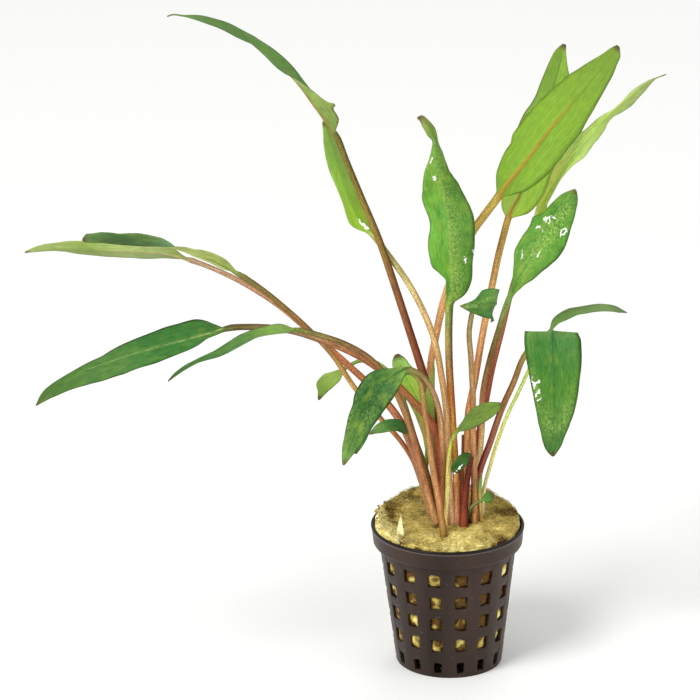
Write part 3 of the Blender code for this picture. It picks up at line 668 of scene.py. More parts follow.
def smooth_rows(rows, steps):
    """Rows along a smooth curve through the given ones, steps[k] of them in span k, and their headings."""
    rows = np.array(rows, float)
    spans = np.linalg.norm(np.diff(rows[:, :3], axis=0), axis=1)
    slopes = np.diff(rows, axis=0) / spans[:, None]
    rates = np.empty_like(rows)
    rates[0], rates[-1] = slopes[0], slopes[-1]
    share = (spans[:-1] / (spans[:-1] + spans[1:]))[:, None]
    rates[1:-1] = slopes[:-1] * (1 - share) + slopes[1:] * share
    # Half widths never swing past the given ones.
    steepest = 3 * np.minimum(abs(slopes[:-1]), abs(slopes[1:])) * (slopes[:-1] * slopes[1:] > 0)
    rates[1:-1, 3:5] = np.clip(rates[1:-1], -steepest, steepest)[:, 3:5]
    made, headings = [], []
    for k, span in enumerate(spans):
        last = k == len(spans) - 1
        for step in range(steps[k] + last):
            t = step / steps[k]
            start, end = 2 * t**3 - 3 * t**2 + 1, 3 * t**2 - 2 * t**3
            leave, arrive = t**3 - 2 * t**2 + t, t**3 - t**2
            bend = span * (leave * rates[k] + arrive * rates[k + 1])
            made.append(start * rows[k] + end * rows[k + 1] + bend)
            slope = (6 * t**2 - 6 * t) * (rows[k, :3] - rows[k + 1, :3])
            slope += span * ((3 * t**2 - 4 * t + 1) * rates[k, :3] + (3 * t**2 - 2 * t) * rates[k + 1, :3])
            headings.append(Vector(slope).normalized())
    return [[float(value) for value in row] for row in made], headings


def along_tints(tints, share):
    """The colour at this share of the way along a list of screen colours."""
    place = held(share) * (len(tints) - 1)
    k = min(int(place), len(tints) - 2) if len(tints) > 1 else 0
    return Vector(tints[k]).lerp(Vector(tints[min(k + 1, len(tints) - 1)]), place - k)


def leaf_skin(name, veins, speckle, gloss, blotches, depth):
    """Living leaf, over its painted tint.

    veins, speckle, blotches and depth are how strong its side veins, its speckles, its broad patches and its
    grain are, and gloss is how rough it is.
    """
    skin = Skin(name)
    mixed, between, maths = skin.mixed, skin.between, skin.maths
    spot, marks = skin.painted("spot", "Vector"), skin.painted("marks", "Vector")
    blade, glint, mottle = (skin.part(marks, axis) for axis in "XYZ")
    share = skin.part(spot, "Z")
    stalk = between(blade, 0, 1, 1, 0)

    def patch(area, scale, squeeze, detail, *ends):
        """Noise over the leaf's own millimetres, squeezed so that it runs lengthwise, inside the area."""
        return maths("MULTIPLY", between(skin.noise(spot, scale, detail, squeeze), *ends), area)

    def lit(colour, more):
        return skin.scaled(colour, maths("ADD", more, 1))

    grain = skin.noise(spot, 1.0, 5, (1.3, 0.35, 0))
    colour = skin.scaled(skin.painted("tint", "Color"), between(grain, 0.25, 0.75, 1 - depth, 1 + depth))
    # Side veins are lines of even share across the blade, so they meet at its base and its tip.
    wander = skin.noise(spot, 0.12, 2, (1, 1, 0))
    lines = maths("PINGPONG", maths("MULTIPLY_ADD", share, 3.6, wander), 0.5)
    vein = maths("MULTIPLY", between(lines, 0.0, 0.09, 1, 0), blade)
    colour = skin.scaled(colour, between(vein, 0, 1, 1, 1 + veins))
    # Broad patches of a yellower and a deeper green, a paler grain where it is mottled, and a few speckles.
    yellower = patch(blade, 0.28, (1.2, 0.6, 0), 3, 0.5, 0.72, 0, 0.4 * blotches)
    colour = mixed(colour, from_screen(150, 178, 62), yellower)
    deeper = patch(blade, 0.2, (1.2, 0.5, 0), 3, 0.3, 0.48, 0.4 * blotches, 0)
    colour = mixed(colour, from_screen(30, 84, 34), deeper)
    mottled = maths("MULTIPLY", mottle, blade)
    paler = patch(mottled, 1.3, (1, 0.7, 0), 4, 0.38, 0.64, 0.0, 0.65)
    colour = mixed(colour, from_screen(168, 200, 100), paler)
    colour = lit(colour, patch(mottled, 3.4, (1, 0.8, 0), 3, 0.3, 0.7, -0.6, 0.6))
    speckles = patch(blade, 2.1, (1, 0.7, 0), 4, 0.68 - speckle, 0.84 - speckle, 0, 0.4)
    colour = mixed(colour, from_screen(190, 214, 120), speckles)
    # The blade's margin is a fine brown line.
    margin = maths("MULTIPLY", between(maths("ABSOLUTE", share), 0.955, 1.0, 0, 0.42), blade)
    colour = mixed(colour, from_screen(104, 90, 40), margin)
    # Streaks and fine pale dots run along the stalk.
    colour = lit(colour, patch(stalk, 1.6, (1.6, 0.09, 0), 4, 0.3, 0.7, -0.38, 0.38))
    colour = lit(colour, patch(stalk, 3.2, (1, 0.6, 0), 2, 0.36, 0.64, -0.35, 0.45))
    # Painted glints: crooked white lines and spots, painted as reflections where the glint mark is strong.
    off_line = maths("ABSOLUTE", maths("SUBTRACT", skin.noise(spot, 0.4, 2, (1, 0.8, 0)), 0.5))
    glint_paint = maths("MULTIPLY", between(off_line, 0.036, 0.052, 1, 0), between(glint, 0.26, 0.36))
    colour = mixed(colour, from_screen(255, 255, 250), glint_paint)
    roughness = between(grain, 0.2, 0.8, gloss - 0.08, gloss + 0.1)
    return skin.finish(colour, roughness, 0.16, maths("MULTIPLY_ADD", vein, 0.5, grain), 0.35, 0.00025)


LEAF_SKINS = {
    "waxy": leaf_skin("waxy_leaf", 0.14, 0.05, 0.42, 0.5, 0.28),
    "speckled": leaf_skin("speckled_leaf", 0.18, 0.1, 0.38, 1.1, 0.26),
    "thin": leaf_skin("thin_young_leaf", 0.24, 0.02, 0.46, 0.3, 0.14),
    "pale": leaf_skin("pale_leaf_underside", 0.3, 0.04, 0.52, 0.4, 0.2),
}


def full_rows(blade):
    """The blade's rows in full: x, y, z, the left and right half width, the roll and the fold in degrees.

    A row with one half width has it on both sides. One without roll and fold has those of the row before.
    """
    rows = []
    for row in blade:
        widths = row[3:4] * 2 if len(row) in (4, 6) else row[3:5]
        rows.append((*row[:3], *widths, *(row[-2:] if len(row) > 5 else rows[-1][5:])))
    return rows


def strength_here(marks, t, share, blade_length, half):
    """How strongly marks show at the shares t along and share across a blade of this length and half width.

    Each mark has a share along, a share across, a length, a breadth and a strength.
    """
    return sum(
        strength * hill((t - place) * blade_length / length, (share - where) * half / breadth)
        for place, where, length, breadth, strength in marks
    )


def grow_leaf(
    node, slot, skin, foot, radii, stalk, stalk_tints, blade=(), upper=(), lower=(), rib=(), lit_halves=(1, 1),
    edges=(), waves=(0, 1), glints=(), mottles=(), rib_reach=1, rib_broken=0, side_light=-8,
):
    """One leaf, in place of its CAD node: its skin lofted along the midline, and painted as it grows.

    Its stalk stands at foot, passes the stalk's points and narrows from one of the radii to the other. blade
    has the rows that full_rows reads. upper and lower are the blade's colours from base to tip on its two
    faces. halves lightens or darkens the blade left and right of its midrib, as painted light and shade.
    edges are bulges and nicks of a margin: share along, side, millimetres and spread. waves is the height and
    number of the margin's waves. glints are painted highlights, white as reflections: share along, share
    across, length and breadth. mottles crowd the pale speckles: share along, share across, length, breadth
    and strength. rib is the midrib's colours, which reach rib_reach of the way to the tip, and rib_broken is
    how far it breaks up. sides is how much painted light makes the stalk's right side lighter than its
    middle.
    """
    blade = full_rows(blade)
    # The stalk narrows in even steps from its foot as far as the blade's first row.
    narrowing = len(stalk) + (len(blade) > 0)
    first_roll = blade[0][5] if blade else 0
    rows = []
    for k, point in enumerate([(*foot, wool_top(*foot) + FOOT_RISE), *stalk]):
        radius = radii[0] + (radii[1] - radii[0]) * k / narrowing
        rows.append((*point, radius, radius, first_roll, 0))
    rows += blade
    spans = [math.dist(a[:3], b[:3]) for a, b in zip(rows, rows[1:])]
    lengths = [STALK_STEP if k < narrowing else BLADE_STEP for k in range(len(spans))]
    steps = [max(1, round(span / length)) for span, length in zip(spans, lengths)]
    path, headings = smooth_rows(rows, steps)
    path.insert(0, [path[0][0], path[0][1], path[0][2] - FOOT_SUNK, *path[0][3:]])
    headings.insert(0, headings[0])
    blade_start = sum(steps[:narrowing]) + 1
    run = [0.0]
    for here, after in zip(path, path[1:]):
        run.append(run[-1] + math.dist(here[:3], after[:3]))
    stalk_length = run[blade_start] if blade else run[-1]
    blade_length = max(run[-1] - stalk_length, 0.001)
    glint_marks = [(*glint, GLINT_STRENGTH) for glint in glints]

    points, tints, spots, marks = [], [], [], []
    for k, (row, heading) in enumerate(zip(path, headings)):
        middle = Vector(row[:3])
        left, right = (max(value, TIP_HALF_WIDTH) for value in row[3:5])
        half = (left + right) / 2
        facing = (VIEWER - VIEWER.dot(heading) * heading).normalized()
        up = Matrix.Rotation(math.radians(row[5]), 3, heading) @ facing
        side = heading.cross(up)
        fold = math.radians(row[6])
        on_blade = bool(blade) and k >= blade_start
        t, midrib, opened = 0, half, 0
        if on_blade:
            t = (run[k] - stalk_length) / blade_length
            midrib = min(half, TIP_HALF_WIDTH + (radii[1] - TIP_HALF_WIDTH) * (1 - t) ** 2)
            opened = held(half / max(midrib, 0.3) - 1)
        stalk_middle = along_tints(stalk_tints, run[k] / stalk_length)
        for corner in range(RING):
            turn = 2 * math.pi * corner / RING
            round_way = math.cos(turn) * side + math.sin(turn) * up
            over = math.sin(turn) > 1e-6
            # The share across runs from 1 at the one margin over the upper face to -1 at the other, and back
            # underneath. Its points lie closer together near the midrib.
            quarter = 4 * corner / RING
            share = 1 - quarter if quarter <= 2 else quarter - 3
            hand = 1 if share > 0 else -1
            share = hand * abs(share) ** 1.7
            swell = sum(
                size * hill((t - place) / spread) for place, which, size, spread in edges if which == hand
            )
            reach = max((right if hand > 0 else left) + swell, 0.5 * midrib) if on_blade else half
            across = share * reach
            ridge = midrib * hill(across / (0.9 * midrib))
            thick = BLADE_HALF_THICK * (1 - share**4) * (1 if over else -1) + (0.25 if over else -0.9) * ridge
            folded = math.sqrt(across * across + (0.2 * reach) ** 2) - 0.2 * reach
            swing = math.sin(2 * math.pi * waves[1] * t + 1.9 * hand)
            wave = waves[0] * share**2 * swing * math.sin(math.pi * min(t, 1)) ** 0.5 if on_blade else 0
            flat = across * math.cos(fold) * side + (folded * math.sin(fold) + thick + wave) * up
            points.append(tuple(middle + (midrib * round_way).lerp(flat, opened)))

            # Painted light and shade on the stalk: one side lighter or darker, and the middle facing the
            # viewer paler.
            aside = round_way.dot(heading.cross(facing))
            tint = stalk_middle + aside * side_light * STALK_SIDE_LIGHT + (0.33 - aside**2) * STALK_FRONT_LIGHT
            if on_blade:
                face = along_tints(upper if (over if abs(share) < 1 else up.dot(facing) > 0) else lower, t)
                # Painted light and shade: one half of the blade lighter than the other.
                face *= lit_halves[0] + (lit_halves[1] - lit_halves[0]) * held(0.5 + 2.5 * share)
                if rib:
                    gap = held(0.5 + 2.5 * noise.noise(Vector((run[k] / 2.2, 3 * share, 7))))
                    near = hill(across / (0.55 * midrib)) * held((rib_reach - t) * 6) * (1 - rib_broken * gap)
                    face = face.lerp(along_tints(rib, t / rib_reach), near)
                face = face.lerp(DEAD_BROWN, 0.85 * held(1.4 - (run[-1] - run[k]) / TIP_BROWN))
                tint = tint.lerp(face, min(1, opened * 1.5))
            screen = [min(255, max(0, channel)) for channel in tint]
            tints.append((*[LEAF_TONE * light for light in from_screen(*screen)[:3]], 1))
            spots.append((across if opened > 0.5 else midrib * turn, run[k], share))
            # The glints are painted highlights.
            glint_paint = strength_here(glint_marks, t, share, blade_length, half) if on_blade else 0
            mottled = strength_here(mottles, t, share, blade_length, half) if on_blade else 0
            marks.append((opened, glint_paint, mottled))
    faces = []
    join_rings(points, faces, RING, capped=True)
    piece = add_piece(f"{node}_grown", points, faces, LEAF_SKINS[skin], [node], slot)
    keep_values(piece, "tint", tints, "FLOAT_COLOR", "color")
    keep_values(piece, "spot", spots, "FLOAT_VECTOR", "vector")
    keep_values(piece, "marks", marks, "FLOAT_VECTOR", "vector")


grow_leaf(
    "leaf_high_arch", "leaf_maroon", "waxy", foot=(-1.5, 5.5), radii=(1.6, 1.02),
    stalk=[(-2.6, 5.9, 70.1), (-5.3, 4.6, 90.6), (-9.3, 3.2, 104.1), (-12.5, 2.4, 114.9), (-17.9, 1, 132.9),
        (-24, -0.8, 152.3), (-29.4, -2.5, 166.5), (-34.4, -4.8, 180.1)],
    blade=[(-38.3, -6.9, 190.9, 1.2, 90, 20), (-41.6, -8.6, 196.8, 6.3, 95, 40),
        (-43.5, -9.6, 199.9, 6.1, 96, 39), (-45.5, -10.5, 203, 5.6, 95, 35), (-49, -11.3, 208.3, 4, 85, 30),
        (-52.1, -12.4, 212.3, 4.4, 4.9, 77, 19), (-55.5, -13.7, 216.1, 5.2, 6.3, 72, 8),
        (-59.1, -14.9, 219.8, 5.9, 6.9, 71, 5), (-62.9, -16.2, 223.3, 5.2, 7.2, 72, 5),
        (-65.9, -17.1, 225.9, 3.6, 5.9, 71, 5), (-68.9, -18.1, 228.3, 5.9, 5),
        (-72.1, -19, 230.5, 6.7, 4.1, 70, 5), (-76.8, -20.4, 233, 4.9, 3), (-81.7, -21.9, 235, 4.3, 2.6),
        (-87.1, -23.5, 236.4, 1.2, 70, 2), (-90.9, -24.7, 237.1, 0.6, 70, 0), (-92.2, -25, 236.6, 0.3)],
    side_light=-26, stalk_tints=[(156, 123, 68), (154, 83, 52), (133, 72, 44), (135, 109, 45), (110, 102, 38)],
    upper=[(91, 123, 45), (94, 139, 58), (92, 142, 44), (70, 117, 29), (99, 138, 49)],
    lower=[(123, 150, 69), (170, 191, 100), (151, 173, 59), (119, 148, 53)], rib=[(174, 112, 36)],
    rib_reach=0.5, edges=[(0.16, -1, 3.0, 0.015)], waves=(0.3, 2.5),
)
grow_leaf(
    "leaf_lime_left", "leaf_lime", "thin", foot=(1, -5.5), radii=(1.15, 1),
    stalk=[(-0.4, -2.3, 73.4), (-1.1, -0.8, 90.9), (-2.8, -1.2, 103.7), (-5.2, -0.9, 116.1),
        (-9.6, 0.2, 127.5), (-14.2, 1.1, 136), (-20, 2.8, 144.1)],
    blade=[(-24.7, 5.1, 149.8, 1, 20, 10), (-27.4, 7.9, 151.9, 1.6, 1.4, 25, 12),
        (-30.9, 11.1, 154.7, 4.6, 4.4, 35, 15), (-32.6, 12.6, 157.4, 4.5, 5.3, 39, 15),
        (-34.1, 13.8, 160.5, 4.1, 5.6, 42, 15), (-35.7, 15.6, 164.8, 4.4, 5.4, 43, 15),
        (-37, 17.5, 169.1, 4.9, 5, 42, 15), (-38, 18.8, 172.2, 4.6, 39, 16), (-39, 20.2, 175.2, 4, 35, 17),
        (-40.1, 21.5, 178.3, 2.9, 3.2, 30, 15), (-41.2, 22.8, 181.6, 1.5, 1.9, 25, 8),
        (-42.4, 24, 184.8, 0.4, 20, 0)],
    # Its foot is painted paler than its own cream-pink, as painted light where the stalks round it shade it.
    stalk_tints=[(252, 214, 174), (246, 196, 144), (207, 157, 100), (214, 180, 120), (165, 171, 90)],
    upper=[(125, 164, 46), (155, 199, 56), (157, 205, 74), (133, 174, 71), (134, 171, 74)],
    lower=[(171, 197, 90)], lit_halves=(1.06, 0.86), waves=(0.5, 1.5),
    glints=[(0.17, 0.05, 2.4, 0.7), (0.11, 0.05, 1.6, 0.6)],
    mottles=[(0.3, -0.4, 4, 1, 0.5), (0.75, 0.4, 5, 1, 0.4)],
)

# The leaf that stands in the middle and the ones behind it on the right: broad blades held upright, seen from
# above or, on the brightest, from below, where the midrib stands out orange.
grow_leaf(
    "leaf_wavy_upright", "leaf_green", "speckled", foot=(3, -6), radii=(1.2, 1.3),
    stalk=[(2.6, -2.5, 64.4), (1.8, 0.9, 75.8), (0.9, 1.6, 90), (-0.2, 1.2, 108.2), (-0.4, 0.9, 119)],
    blade=[(-0.2, 0, 127.9, 1.4, 0, 10), (0.1, -0.3, 130.9, 1.6, 2.9, 3, 14),
        (0.4, -0.7, 133.9, 2, 5.3, 5, 18), (0.4, -1.4, 138, 2.2, 7), (0.4, -1.8, 140.6, 4, 7.2),
        (0.3, -2.1, 143.6, 6.4, 7.3), (0, -2.8, 147.2, 7.8, 7.9, 7, 18), (-0.4, -3.5, 150.8, 8, 8.4, 8, 18),
        (-0.5, -4, 153.9, 7.7, 8.4, 8, 17), (-0.5, -4.5, 157, 7, 8.4, 7, 16),
        (-0.7, -5, 160.1, 6.7, 8.4, 5, 15), (-1.2, -5.6, 163.2, 6.8, 8.1, 0, 15),
        (-1.9, -6.1, 166.3, 7.1, 7.5, -6, 15), (-2.6, -6.6, 169.4, 7.2, 6.8, -10, 15),
        (-3.2, -7.1, 172.3, 6.8, 6.1, -11, 15), (-3.9, -7.7, 175.1, 5.9, 5.2),
        (-4.5, -8.2, 178, 4.8, 4.4, -10, 15), (-4.8, -8.7, 180.7, 3.6, 3.7, -8, 14),
        (-5.1, -9.3, 183.4, 2.3, 3, -5, 12), (-5.3, -9.8, 186.2, 1.4, 2.2, 0, 10),
        (-5.5, -10.6, 189.5, 0.9, 10, 8), (-7, -11.4, 193.2, 1.9, 20, 10), (-9.1, -12.7, 196.5, 2, 30, 6),
        (-10.7, -13.9, 198.4, 1.3, 40, 0), (-11.5, -14, 198.6, 0.4)],
    side_light=-46,
    stalk_tints=[(206, 135, 114), (222, 154, 92), (252, 192, 73), (208, 133, 68), (154, 127, 72),
        (122, 143, 59)],
    upper=[(80, 134, 36), (98, 164, 49), (105, 165, 58), (101, 162, 58), (93, 147, 42), (105, 151, 62),
        (177, 178, 95)], lower=[(140, 170, 84)], rib=[(138, 177, 77)], rib_reach=0.75, lit_halves=(1.12, 0.86),
    waves=(1.2, 2.5),
    glints=[(0.74, -0.55, 1.8, 0.8), (0.66, -0.3, 1.2, 0.7), (0.23, 0.6, 1.5, 1.1), (0.27, 0.95, 1.0, 0.9)],
    mottles=[(0.3, 0.15, 22, 2.4, 0.9), (0.68, -0.3, 8, 3, 0.6), (0.1, 0.1, 6, 2, 0.5)],
)
grow_leaf(
    "leaf_bright_underside", "leaf_bright", "thin", foot=(-4, 7), radii=(1.1, 1.42),
    stalk=[(-5.1, 9.4, 71.6), (-6.7, 8.3, 88.1), (-6.5, 8.1, 101.9), (-4.5, 7.8, 114.6), (-1.9, 7.4, 127.3),
        (2.5, 7.4, 140.1), (7.7, 7.4, 152), (11.8, 6.8, 158.3)],
    blade=[(15.6, 6.1, 164, 1.4, 180, 5), (17.3, 5.7, 166.8, 3.2, 2.8, 181, 6),
        (19, 5.3, 169.6, 5.8, 5, 182, 8), (21.4, 4.8, 172.9, 7.3, 6.6, 183, 8),
        (23.8, 4.3, 176.1, 8.2, 7.6, 184, 8), (25.9, 3.7, 179.2, 8.8, 7.8, 184, 9), (27.8, 3.1, 182.3, 9),
        (29.8, 2.5, 185.4, 9.1, 9, 184, 10), (31.7, 2, 188.3, 9.1, 9), (33.7, 1.4, 191.2, 9, 8.8),
        (35.7, 0.8, 194, 8.8, 8.6), (38.4, -0.1, 197.7, 7.8, 8.1), (41.1, -0.9, 201.5, 7.1, 7.4),
        (43, -1.5, 204.2, 6.5, 6.9, 183, 10), (44.9, -2.1, 206.9, 5.9, 181, 9),
        (46.8, -2.8, 209.7, 5.3, 4.9, 180, 8), (48.9, -3.6, 212.7, 4.6, 3.8, 180, 7),
        (50.9, -4.4, 215.7, 3.5, 2.6, 180, 5), (53, -5.5, 219.1, 2.3, 1.4, 180, 3),
        (54.1, -6, 220.6, 0.6, 180, 0)],
    side_light=4, stalk_tints=[(194, 128, 119), (252, 187, 129), (221, 164, 107), (192, 165, 75)],
    upper=[(83, 135, 51), (74, 124, 53), (82, 129, 59)],
    lower=[(124, 164, 54), (134, 176, 55), (132, 173, 53), (126, 161, 53), (121, 154, 56)],
    rib=[(189, 141, 50)], rib_reach=0.7, lit_halves=(1.05, 1.01), waves=(0.7, 1.5),
)
grow_leaf(
    "leaf_behind_bright", "leaf_bright", "thin", foot=(4.5, 2.5), radii=(1.2, 1.15),
    stalk=[(4.6, 1.5, 65.3), (6, 0.7, 77.7), (6.4, 0.5, 89.7), (8.2, 2.3, 98.7), (10.7, 5, 113.9),
        (14, 7.7, 131.5), (16.7, 12.8, 143.1), (18.1, 15.3, 147.8)],
    blade=[(19.5, 17.9, 152.3, 1.2, 180, 0), (20.6, 19.2, 155, 4.3, 3.6, 180, 8),
        (23.1, 20.8, 159.1, 6.7, 6.4), (24.8, 22.4, 163.3, 7.8, 7.7, 178, 9), (26.2, 24, 167.6, 8, 175, 10),
        (27.6, 25.3, 171.6, 8, 174, 10), (28.9, 26.6, 175.6, 8, 7.9, 175, 10), (30.2, 27.8, 179.7, 7.9, 7.8),
        (31.3, 28.8, 183.1, 7.5, 7.3), (32.5, 29.6, 186.6, 6.6, 6.2), (33.5, 30.6, 190, 5.8, 5.3),
        (34.6, 31.8, 194, 5.3, 4.8), (35.7, 33, 198, 4.6, 4.2), (36.7, 33.9, 201.8, 2.7, 3.5, 176, 7),
        (37.6, 35, 205.5, 1.3, 2.4, 178, 3), (38.3, 36, 207.9, 0.6, 180, 0)],
    side_light=14, stalk_tints=[(184, 122, 104), (223, 160, 99), (194, 128, 81), (240, 181, 113), (176, 144, 61)],
    upper=[(175, 190, 98)],
    lower=[(161, 196, 71), (143, 183, 66), (152, 189, 89), (128, 170, 60), (135, 170, 63)],
    rib=[(175, 114, 46), (117, 120, 49), (93, 138, 68), (83, 125, 53), (76, 118, 53)], lit_halves=(1.08, 0.93),
    waves=(0.6, 1.5),
)
grow_leaf(
    "leaf_long_pale", "leaf_pale", "pale", foot=(10, 9.5), radii=(1.2, 0.9),
    stalk=[(9.7, 6.7, 75.2), (12.5, 7.8, 91.1), (14.4, 8.9, 101.6), (17.7, 10.6, 115.4), (21.3, 13.2, 130.5)],
    blade=[(26.2, 19.3, 143.3, 1.2, -50, 5), (27.3, 20.8, 145.7, 1.2, 1.5, -49, 5),
        (28.3, 22.4, 148.1, 1.3, 2.1, -48, 5), (29.4, 23.9, 150.5, 1.5, 2.9), (30.6, 25.3, 152.9, 2, 3.6),
        (31.8, 26.4, 155.1, 2.8, 1.9, -49, 6), (33.1, 27.4, 157.4, 3.8, 2.3, -51, 7),
        (34.5, 28.4, 159.6, 4.8, 2.5, -54, 7), (35.9, 29.4, 161.8, 5.4, 2.6, -55, 8),
        (37.5, 30.6, 164, 5.6, 3), (39.3, 31.7, 166.1, 5.7, 3.2), (41.1, 32.9, 168.2, 5.8, 4.4),
        (43, 34, 170.3, 5.8, 5.6), (44.6, 34.9, 172.1, 5.8, 5.6, -56, 8),
        (46.2, 35.9, 173.9, 5.7, 5.5, -57, 8), (47.9, 36.8, 175.7, 4.2, 6.1, -58, 8),
        (49.7, 37.8, 177.6, 4, 6.1, -59, 8), (51.5, 38.9, 179.4, 3.8, 4.9, -61, 8),
        (53.3, 39.9, 181.2, 2.7, 4.8, -62, 8), (55.7, 41.1, 183.2, 1, 7, -63, 7),
        (58.2, 42.4, 185.1, 0.8, 7.5, -63, 6), (60.7, 43.6, 186.9, 1.3, 6.3, -64, 5),
        (62.7, 44.6, 188.3, 1.7, 5.2, -64, 4), (64.7, 45.6, 189.5, 1.7, 4.1, -65, 2),
        (67.8, 47.2, 191.3, 1.2, 2.1, -66, 0), (70.5, 48.6, 192.1, 0.8, 0.3, -67, 0),
        (73.3, 50, 192.7, 0.4, -68, 0)],
    stalk_tints=[(171, 103, 79), (166, 79, 58), (170, 100, 63), (202, 137, 71)],
    # Its blade is painted much paler near its base, as painted light where it lies in shade.
    upper=[(174, 228, 162), (226, 252, 108), (217, 252, 117), (193, 224, 120), (167, 193, 94),
        (162, 181, 102), (141, 161, 98)], lower=[(183, 221, 108)], rib=[(189, 234, 83)], lit_halves=(1.12, 0.94),
    waves=(0.25, 3),
)
grow_leaf(
    "leaf_speckled_glossy", "leaf_green", "speckled", foot=(8, 6.5), radii=(0.9, 1),
    stalk=[(10.3, 2.7, 70.7), (11.1, 2.6, 82.4), (11.1, 2, 95.2), (13.4, 1.8, 107.9), (16.3, 1.6, 118.8)],
    blade=[(19.6, 0.9, 130.1, 1.1, 0, 5), (20.8, 0.8, 133.1, 1.2, 1.7, 2, 9),
        (22, 0.7, 136.2, 1.6, 2.8, 5, 12), (23.4, 0.6, 139.3, 2.9, 4.7, 7, 12),
        (25, 0.5, 142.3, 4.6, 5.7, 8, 12), (26.3, 0.4, 144.5, 6.1, 6.3), (27.8, 0.3, 146.6, 6.7, 6.8),
        (29.3, 0.2, 148.8, 7, 7.3), (31, 0, 150.9, 7.2, 7, 12), (32.7, -0.1, 153, 7.8, 6.7, 6, 12),
        (34.2, -0.2, 155.2, 8.4, 5.8, 5, 12), (35.7, -0.3, 157.9, 6.3, 4.8, 3, 11),
        (37.1, -0.5, 160.7, 5.5, 4.2, 1, 10), (38.4, -0.7, 163.5, 4.6, 3.4, 0, 8),
        (40.1, -0.9, 167.2, 2.7, 2, 0, 4), (41, -1, 169.4, 0.5, 0, 0)],
    side_light=8, stalk_tints=[(252, 196, 159), (252, 240, 164), (187, 128, 85), (120, 92, 43), (129, 158, 78)],
    upper=[(119, 158, 55), (98, 153, 54), (93, 151, 54), (75, 139, 40), (67, 126, 45)],
    lower=[(167, 178, 77)], rib=[(82, 136, 48)], lit_halves=(1.06, 1.03), waves=(0.5, 1.5),
    glints=[(0.7, -0.4, 1.8, 2.2), (0.58, -0.5, 1.8, 1.4), (0.67, 0.6, 2.2, 1.6), (0.35, -0.6, 1.6, 1.4),
        (0.42, 0.15, 1.6, 1.0)], mottles=[(0.5, 0.0, 13, 3.2, 1.1), (0.8, 0.0, 6, 2.5, 0.7)],
)

# The leaves on the right that bend over: one hangs dark and flat with its back edge folded, one reaches out
# narrow and level, and one small blade is folded across the stalks.
grow_leaf(
    "leaf_hanging_dark", "leaf_dark", "waxy", foot=(10, -1.5), radii=(1.2, 0.9),
    stalk=[(10.1, -0.5, 67.2), (13.7, -1.1, 79.1), (17.6, -2.5, 92.3), (21.4, -3.5, 102.1),
        (24.6, -5.1, 111.7), (28.3, -7.6, 118)],
    blade=[(31.9, -12.4, 122.8, 1, 0, 5), (33.2, -13.6, 124.1, 1, 0, 4), (33.6, -14.7, 124.4, 1.2),
        (33.6, -15.2, 124.1, 8.4, 9.2, 0, 6), (33.5, -16.3, 122.6, 9.4, 0, 8), (33.6, -17.8, 120.4, 9.6, 9.4),
        (33.7, -19.2, 118.1, 9.6, 9.2), (33.9, -20.9, 114.6, 9.3, 8.7), (34, -22.4, 110.9, 8.7, 8.1),
        (34.1, -23.6, 107.6, 8.2, 7.5), (34.1, -24.6, 104.2, 7.7, 6.8), (34.1, -25.5, 100.8, 6.9, 6.1),
        (34, -26.1, 98, 6.1, 5.5), (34, -26.7, 95.3, 5.1, 4.9), (33.9, -27.3, 92.6, 4, 4.1),
        (33.9, -27.9, 90.1, 3.1, 3.5), (33.8, -28.5, 87.7, 1.9, 2.4, 0, 6), (33.8, -29, 85.6, 0.5, 0, 0)],
    side_light=26, stalk_tints=[(220, 195, 134), (143, 70, 63), (140, 85, 56), (151, 115, 62), (173, 174, 78)],
    upper=[(123, 147, 84), (68, 126, 51), (68, 125, 47), (80, 133, 45), (81, 131, 51), (72, 121, 49),
        (58, 109, 53)], lower=[(147, 161, 86)], rib=[(52, 107, 55)], waves=(0.5, 1.5),
    glints=[(0.44, 0.78, 1.6, 1.6), (0.54, 0.78, 3.0, 1.4), (0.02, 0.3, 0.8, 3.5)],
    mottles=[(0.5, 0.85, 7, 1.4, 0.9), (0.72, 0.4, 4.5, 1.6, 0.75), (0.68, -0.6, 5.5, 1.8, 0.7),
        (0.78, -0.1, 2.5, 4, 0.5), (0.4, -0.9, 10, 0.9, 0.5)],
)
grow_leaf(
    "leaf_narrow_arch", "leaf_green", "waxy", foot=(11.5, 2), radii=(0.65, 0.6),
    stalk=[(11.9, 1.2, 61), (14.2, 2.6, 70.3), (17.5, 3.7, 81.5), (20.7, 4.3, 89.7), (23.6, 4.8, 95.9),
        (26.5, 5.5, 102.5), (30.4, 6.8, 111.9)],
    blade=[(33.7, 7.5, 116.1, 0.9, -60, 5), (36.2, 8.7, 119.5, 3.2, -66, 5),
        (38.5, 9.4, 120.9, 3.3, 4.9, -68, 5), (41.1, 10.2, 121.8, 3.4, 4.6), (44.1, 11.2, 122.4, 2.9, 6),
        (47.2, 12.3, 122.6, 2.9, 5.7), (50.7, 13.5, 122.5, 2.6, 4.7), (54.1, 14.7, 121.9, 1.9, 4.1),
        (57, 15.8, 120.7, 2.3, 2.6, -68, 3), (59.9, 17, 119.2, 0.4, -68, 0)],
    stalk_tints=[(252, 252, 219), (248, 242, 131), (191, 212, 111), (209, 228, 110)],
    upper=[(107, 148, 72), (92, 133, 54), (104, 144, 60), (116, 148, 75), (90, 122, 62)],
    lower=[(164, 178, 92)], rib=[(129, 156, 71)], rib_reach=0.8, waves=(0.2, 2),
)
